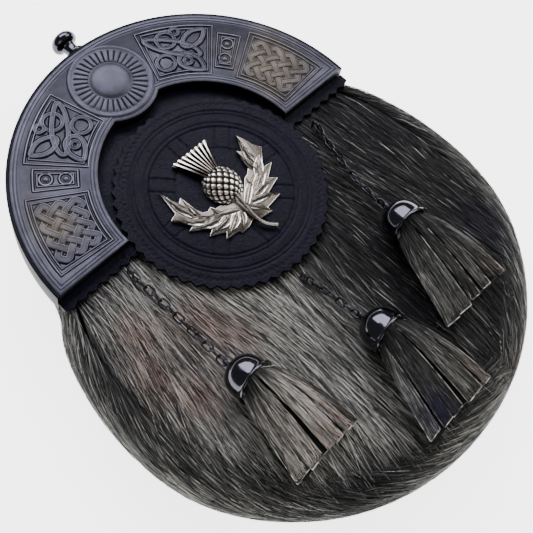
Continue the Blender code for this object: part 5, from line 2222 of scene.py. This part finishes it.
@dataclass
class Studio:
    """The pale floor, the soft lights and the camera at the photograph's angle, in metres."""

    paper: Material
    floor_size: float = 3.0
    camera_place: Place = (-0.15799, -0.09771, 0.38146)
    right: Place = (0.69297, -0.71013, 0.12457)
    down: Place = (-0.61498, -0.67238, -0.41195)
    ahead: Place = (0.37629, 0.20886, -0.90265)
    lens: float = 66.19
    sensor: float = 36.0
    # The soft lights, all on one spot. columns: name, place, size, power in watts, colour
    lights: tuple[tuple, ...] = (
        ("key", (0.50, -0.10, 0.50), (0.40, 0.36), 2.6, "#fffdfa"),
        ("top", (0.24, 0.50, 0.58), (0.74, 0.46), 8.6, "#f4f2ff"),
        ("fill", (-0.6, -0.5, 0.6), (0.6, 0.5), 1.5, "#ffffff"),
    )
    lit_spot: Place = (0.0, 0.0, 0.02)
    surroundings: str = "#f2f4f8"
    surroundings_power: float = 0.18

    def camera(self) -> None:
        """The camera that was fitted to the photograph."""
        data = bpy.data.cameras.new("view")
        data.lens = self.lens
        data.sensor_width = self.sensor
        data.clip_start = 0.01
        camera = new_object("view", data)
        axes = Matrix((self.right, [-v for v in self.down], [-v for v in self.ahead])).transposed()
        camera.matrix_world = Matrix.Translation(self.camera_place) @ axes.to_4x4()
        bpy.context.scene.camera = camera

    def area(self, name: str, place: Sequence[float], size: Point, power: float, colour: str
             ) -> None:
        """A soft rectangular light.

        Args:
            name: its name.
            place: where it stands.
            size: its width and height.
            power: in watts.
            colour: its hex colour.
        """
        data = bpy.data.lights.new(name, "AREA")
        data.shape = "RECTANGLE"
        data.size, data.size_y = size
        data.energy = power
        data.color = linear(colour)[:3]
        aim = Vector(self.lit_spot) - Vector(place)
        new_object(name, data).matrix_world = turned_to(place, aim, "-Z", "Y")

    def build(self) -> None:
        """Floor, surroundings, lights and camera."""
        shape = bmesh.new()
        bmesh.ops.create_grid(shape, x_segments=4, y_segments=4, size=self.floor_size)
        floor = new_object("floor", to_mesh(shape))
        floor.data.materials.append(self.paper)
        world = bpy.data.worlds.new("studio")
        world.use_nodes = True
        feed(world.node_tree, world.node_tree.nodes["Background"],
             {"Color": self.surroundings, "Strength": self.surroundings_power})
        bpy.context.scene.world = world
        for light in self.lights:
            self.area(*light)
        self.camera()


# ---- the whole

def report(pieces: Iterable[Object]) -> None:
    """Name each piece with its number of faces."""
    for piece in pieces:
        LOG.info("%s: %d faces", piece.name, len(piece.data.polygons))


def main() -> None:
    """Build every piece in order."""
    logging.basicConfig(level=logging.INFO, format="%(message)s")
    nickel = CastMetal("cast_antique_nickel", recess="#101014", ground="#4b4b54", ridge="#6c6c76",
                       warm="#665e42", roughness=0.48).build()
    silver = CastMetal("cast_silver_plate", recess="#16120e", ground="#6e675e", ridge="#fffaf0",
                       warm="#f2ece2", roughness=0.26, grain=0.3).build()
    plate = PolishedPlate().build()
    wire = PolishedPlate("drawn_nickel_wire", "#38383c", 0.2).build()
    tooled = GrainedLeather("tooled_black_leather").build()
    strap = GrainedLeather("strap_black_leather", grain=1.2, depth=0.16, roughness=0.55).build()
    hair = SealHair("mottled_seal_hair").build()
    edge = CutHide().build()
    thread = WaxedThread().build()
    report([Cantle(nickel).build(), Knob(plate).build(), TooledRoundel(tooled).build(),
            Apron(tooled).build(), ThistleBadge(silver).build()])
    report(FurPouch(hair).build())
    # Strips. columns: left and right at the cut end, height, whether the flesh shows, tone
    left_strips = ((-65.5, -58.2, 1.2, 0, 0.6), (-58.0, -51.2, 2.0, 1, 0.86),
                   (-48.2, -44.2, 1.2, 1, 1.05), (-44.0, -40.2, 2.1, 1, 1.2),
                   (-37.2, -35.2, 1.8, 1, 0.9), (-34.9, -31.6, 0.9, 0, 0.26))
    middle_strips = ((-17.6, -11.4, 1.2, 1, 0.42), (-9.8, -4.3, 1.9, 0, 0.22),
                     (-4.0, 2.2, 1.3, 1, 0.22), (4.6, 9.2, 1.9, 0, 0.38),
                     (9.6, 13.6, 1.2, 1, 0.3), (15.4, 18.8, 1.9, 1, 0.42))
    right_strips = ((22.8, 29.8, 1.2, 0, 0.36), (30.2, 36.8, 1.9, 1, 0.32),
                    (39.2, 43.8, 1.2, 1, 0.2), (46.0, 50.2, 1.9, 1, 0.3),
                    (52.2, 54.7, 1.2, 0, 0.22), (55.8, 58.8, 1.9, 1, 0.38))
    # columns: name, top of the chain, bow, links, rim, heading, cut end, left, right, pale, strips
    for *sizes, strips in (
            ("left", (-52.6, -2.6), 0.6, 13, (-51.0, -69.2), 7.0, -104.6, -65.5, -35.5, True,
             left_strips),
            ("middle", (-3.2, -50.2), 0.9, 7, (0.2, -91.4), 5.0, -129.4, -18.0, 18.4, False,
             middle_strips),
            ("right", (52.0, -4.6), -1.2, 11, (41.4, -66.2), -5.0, -104.2, 22.6, 58.6, False,
             right_strips)):
        cut = tuple(Strip(*row) for row in strips)
        report(Drop(*sizes, cut, plate, wire, hair, edge).build())
    report(BackFittings(strap, thread, plate).build())
    Studio(StudioPaper().build()).build()


if __name__ == "__main__":
    main()
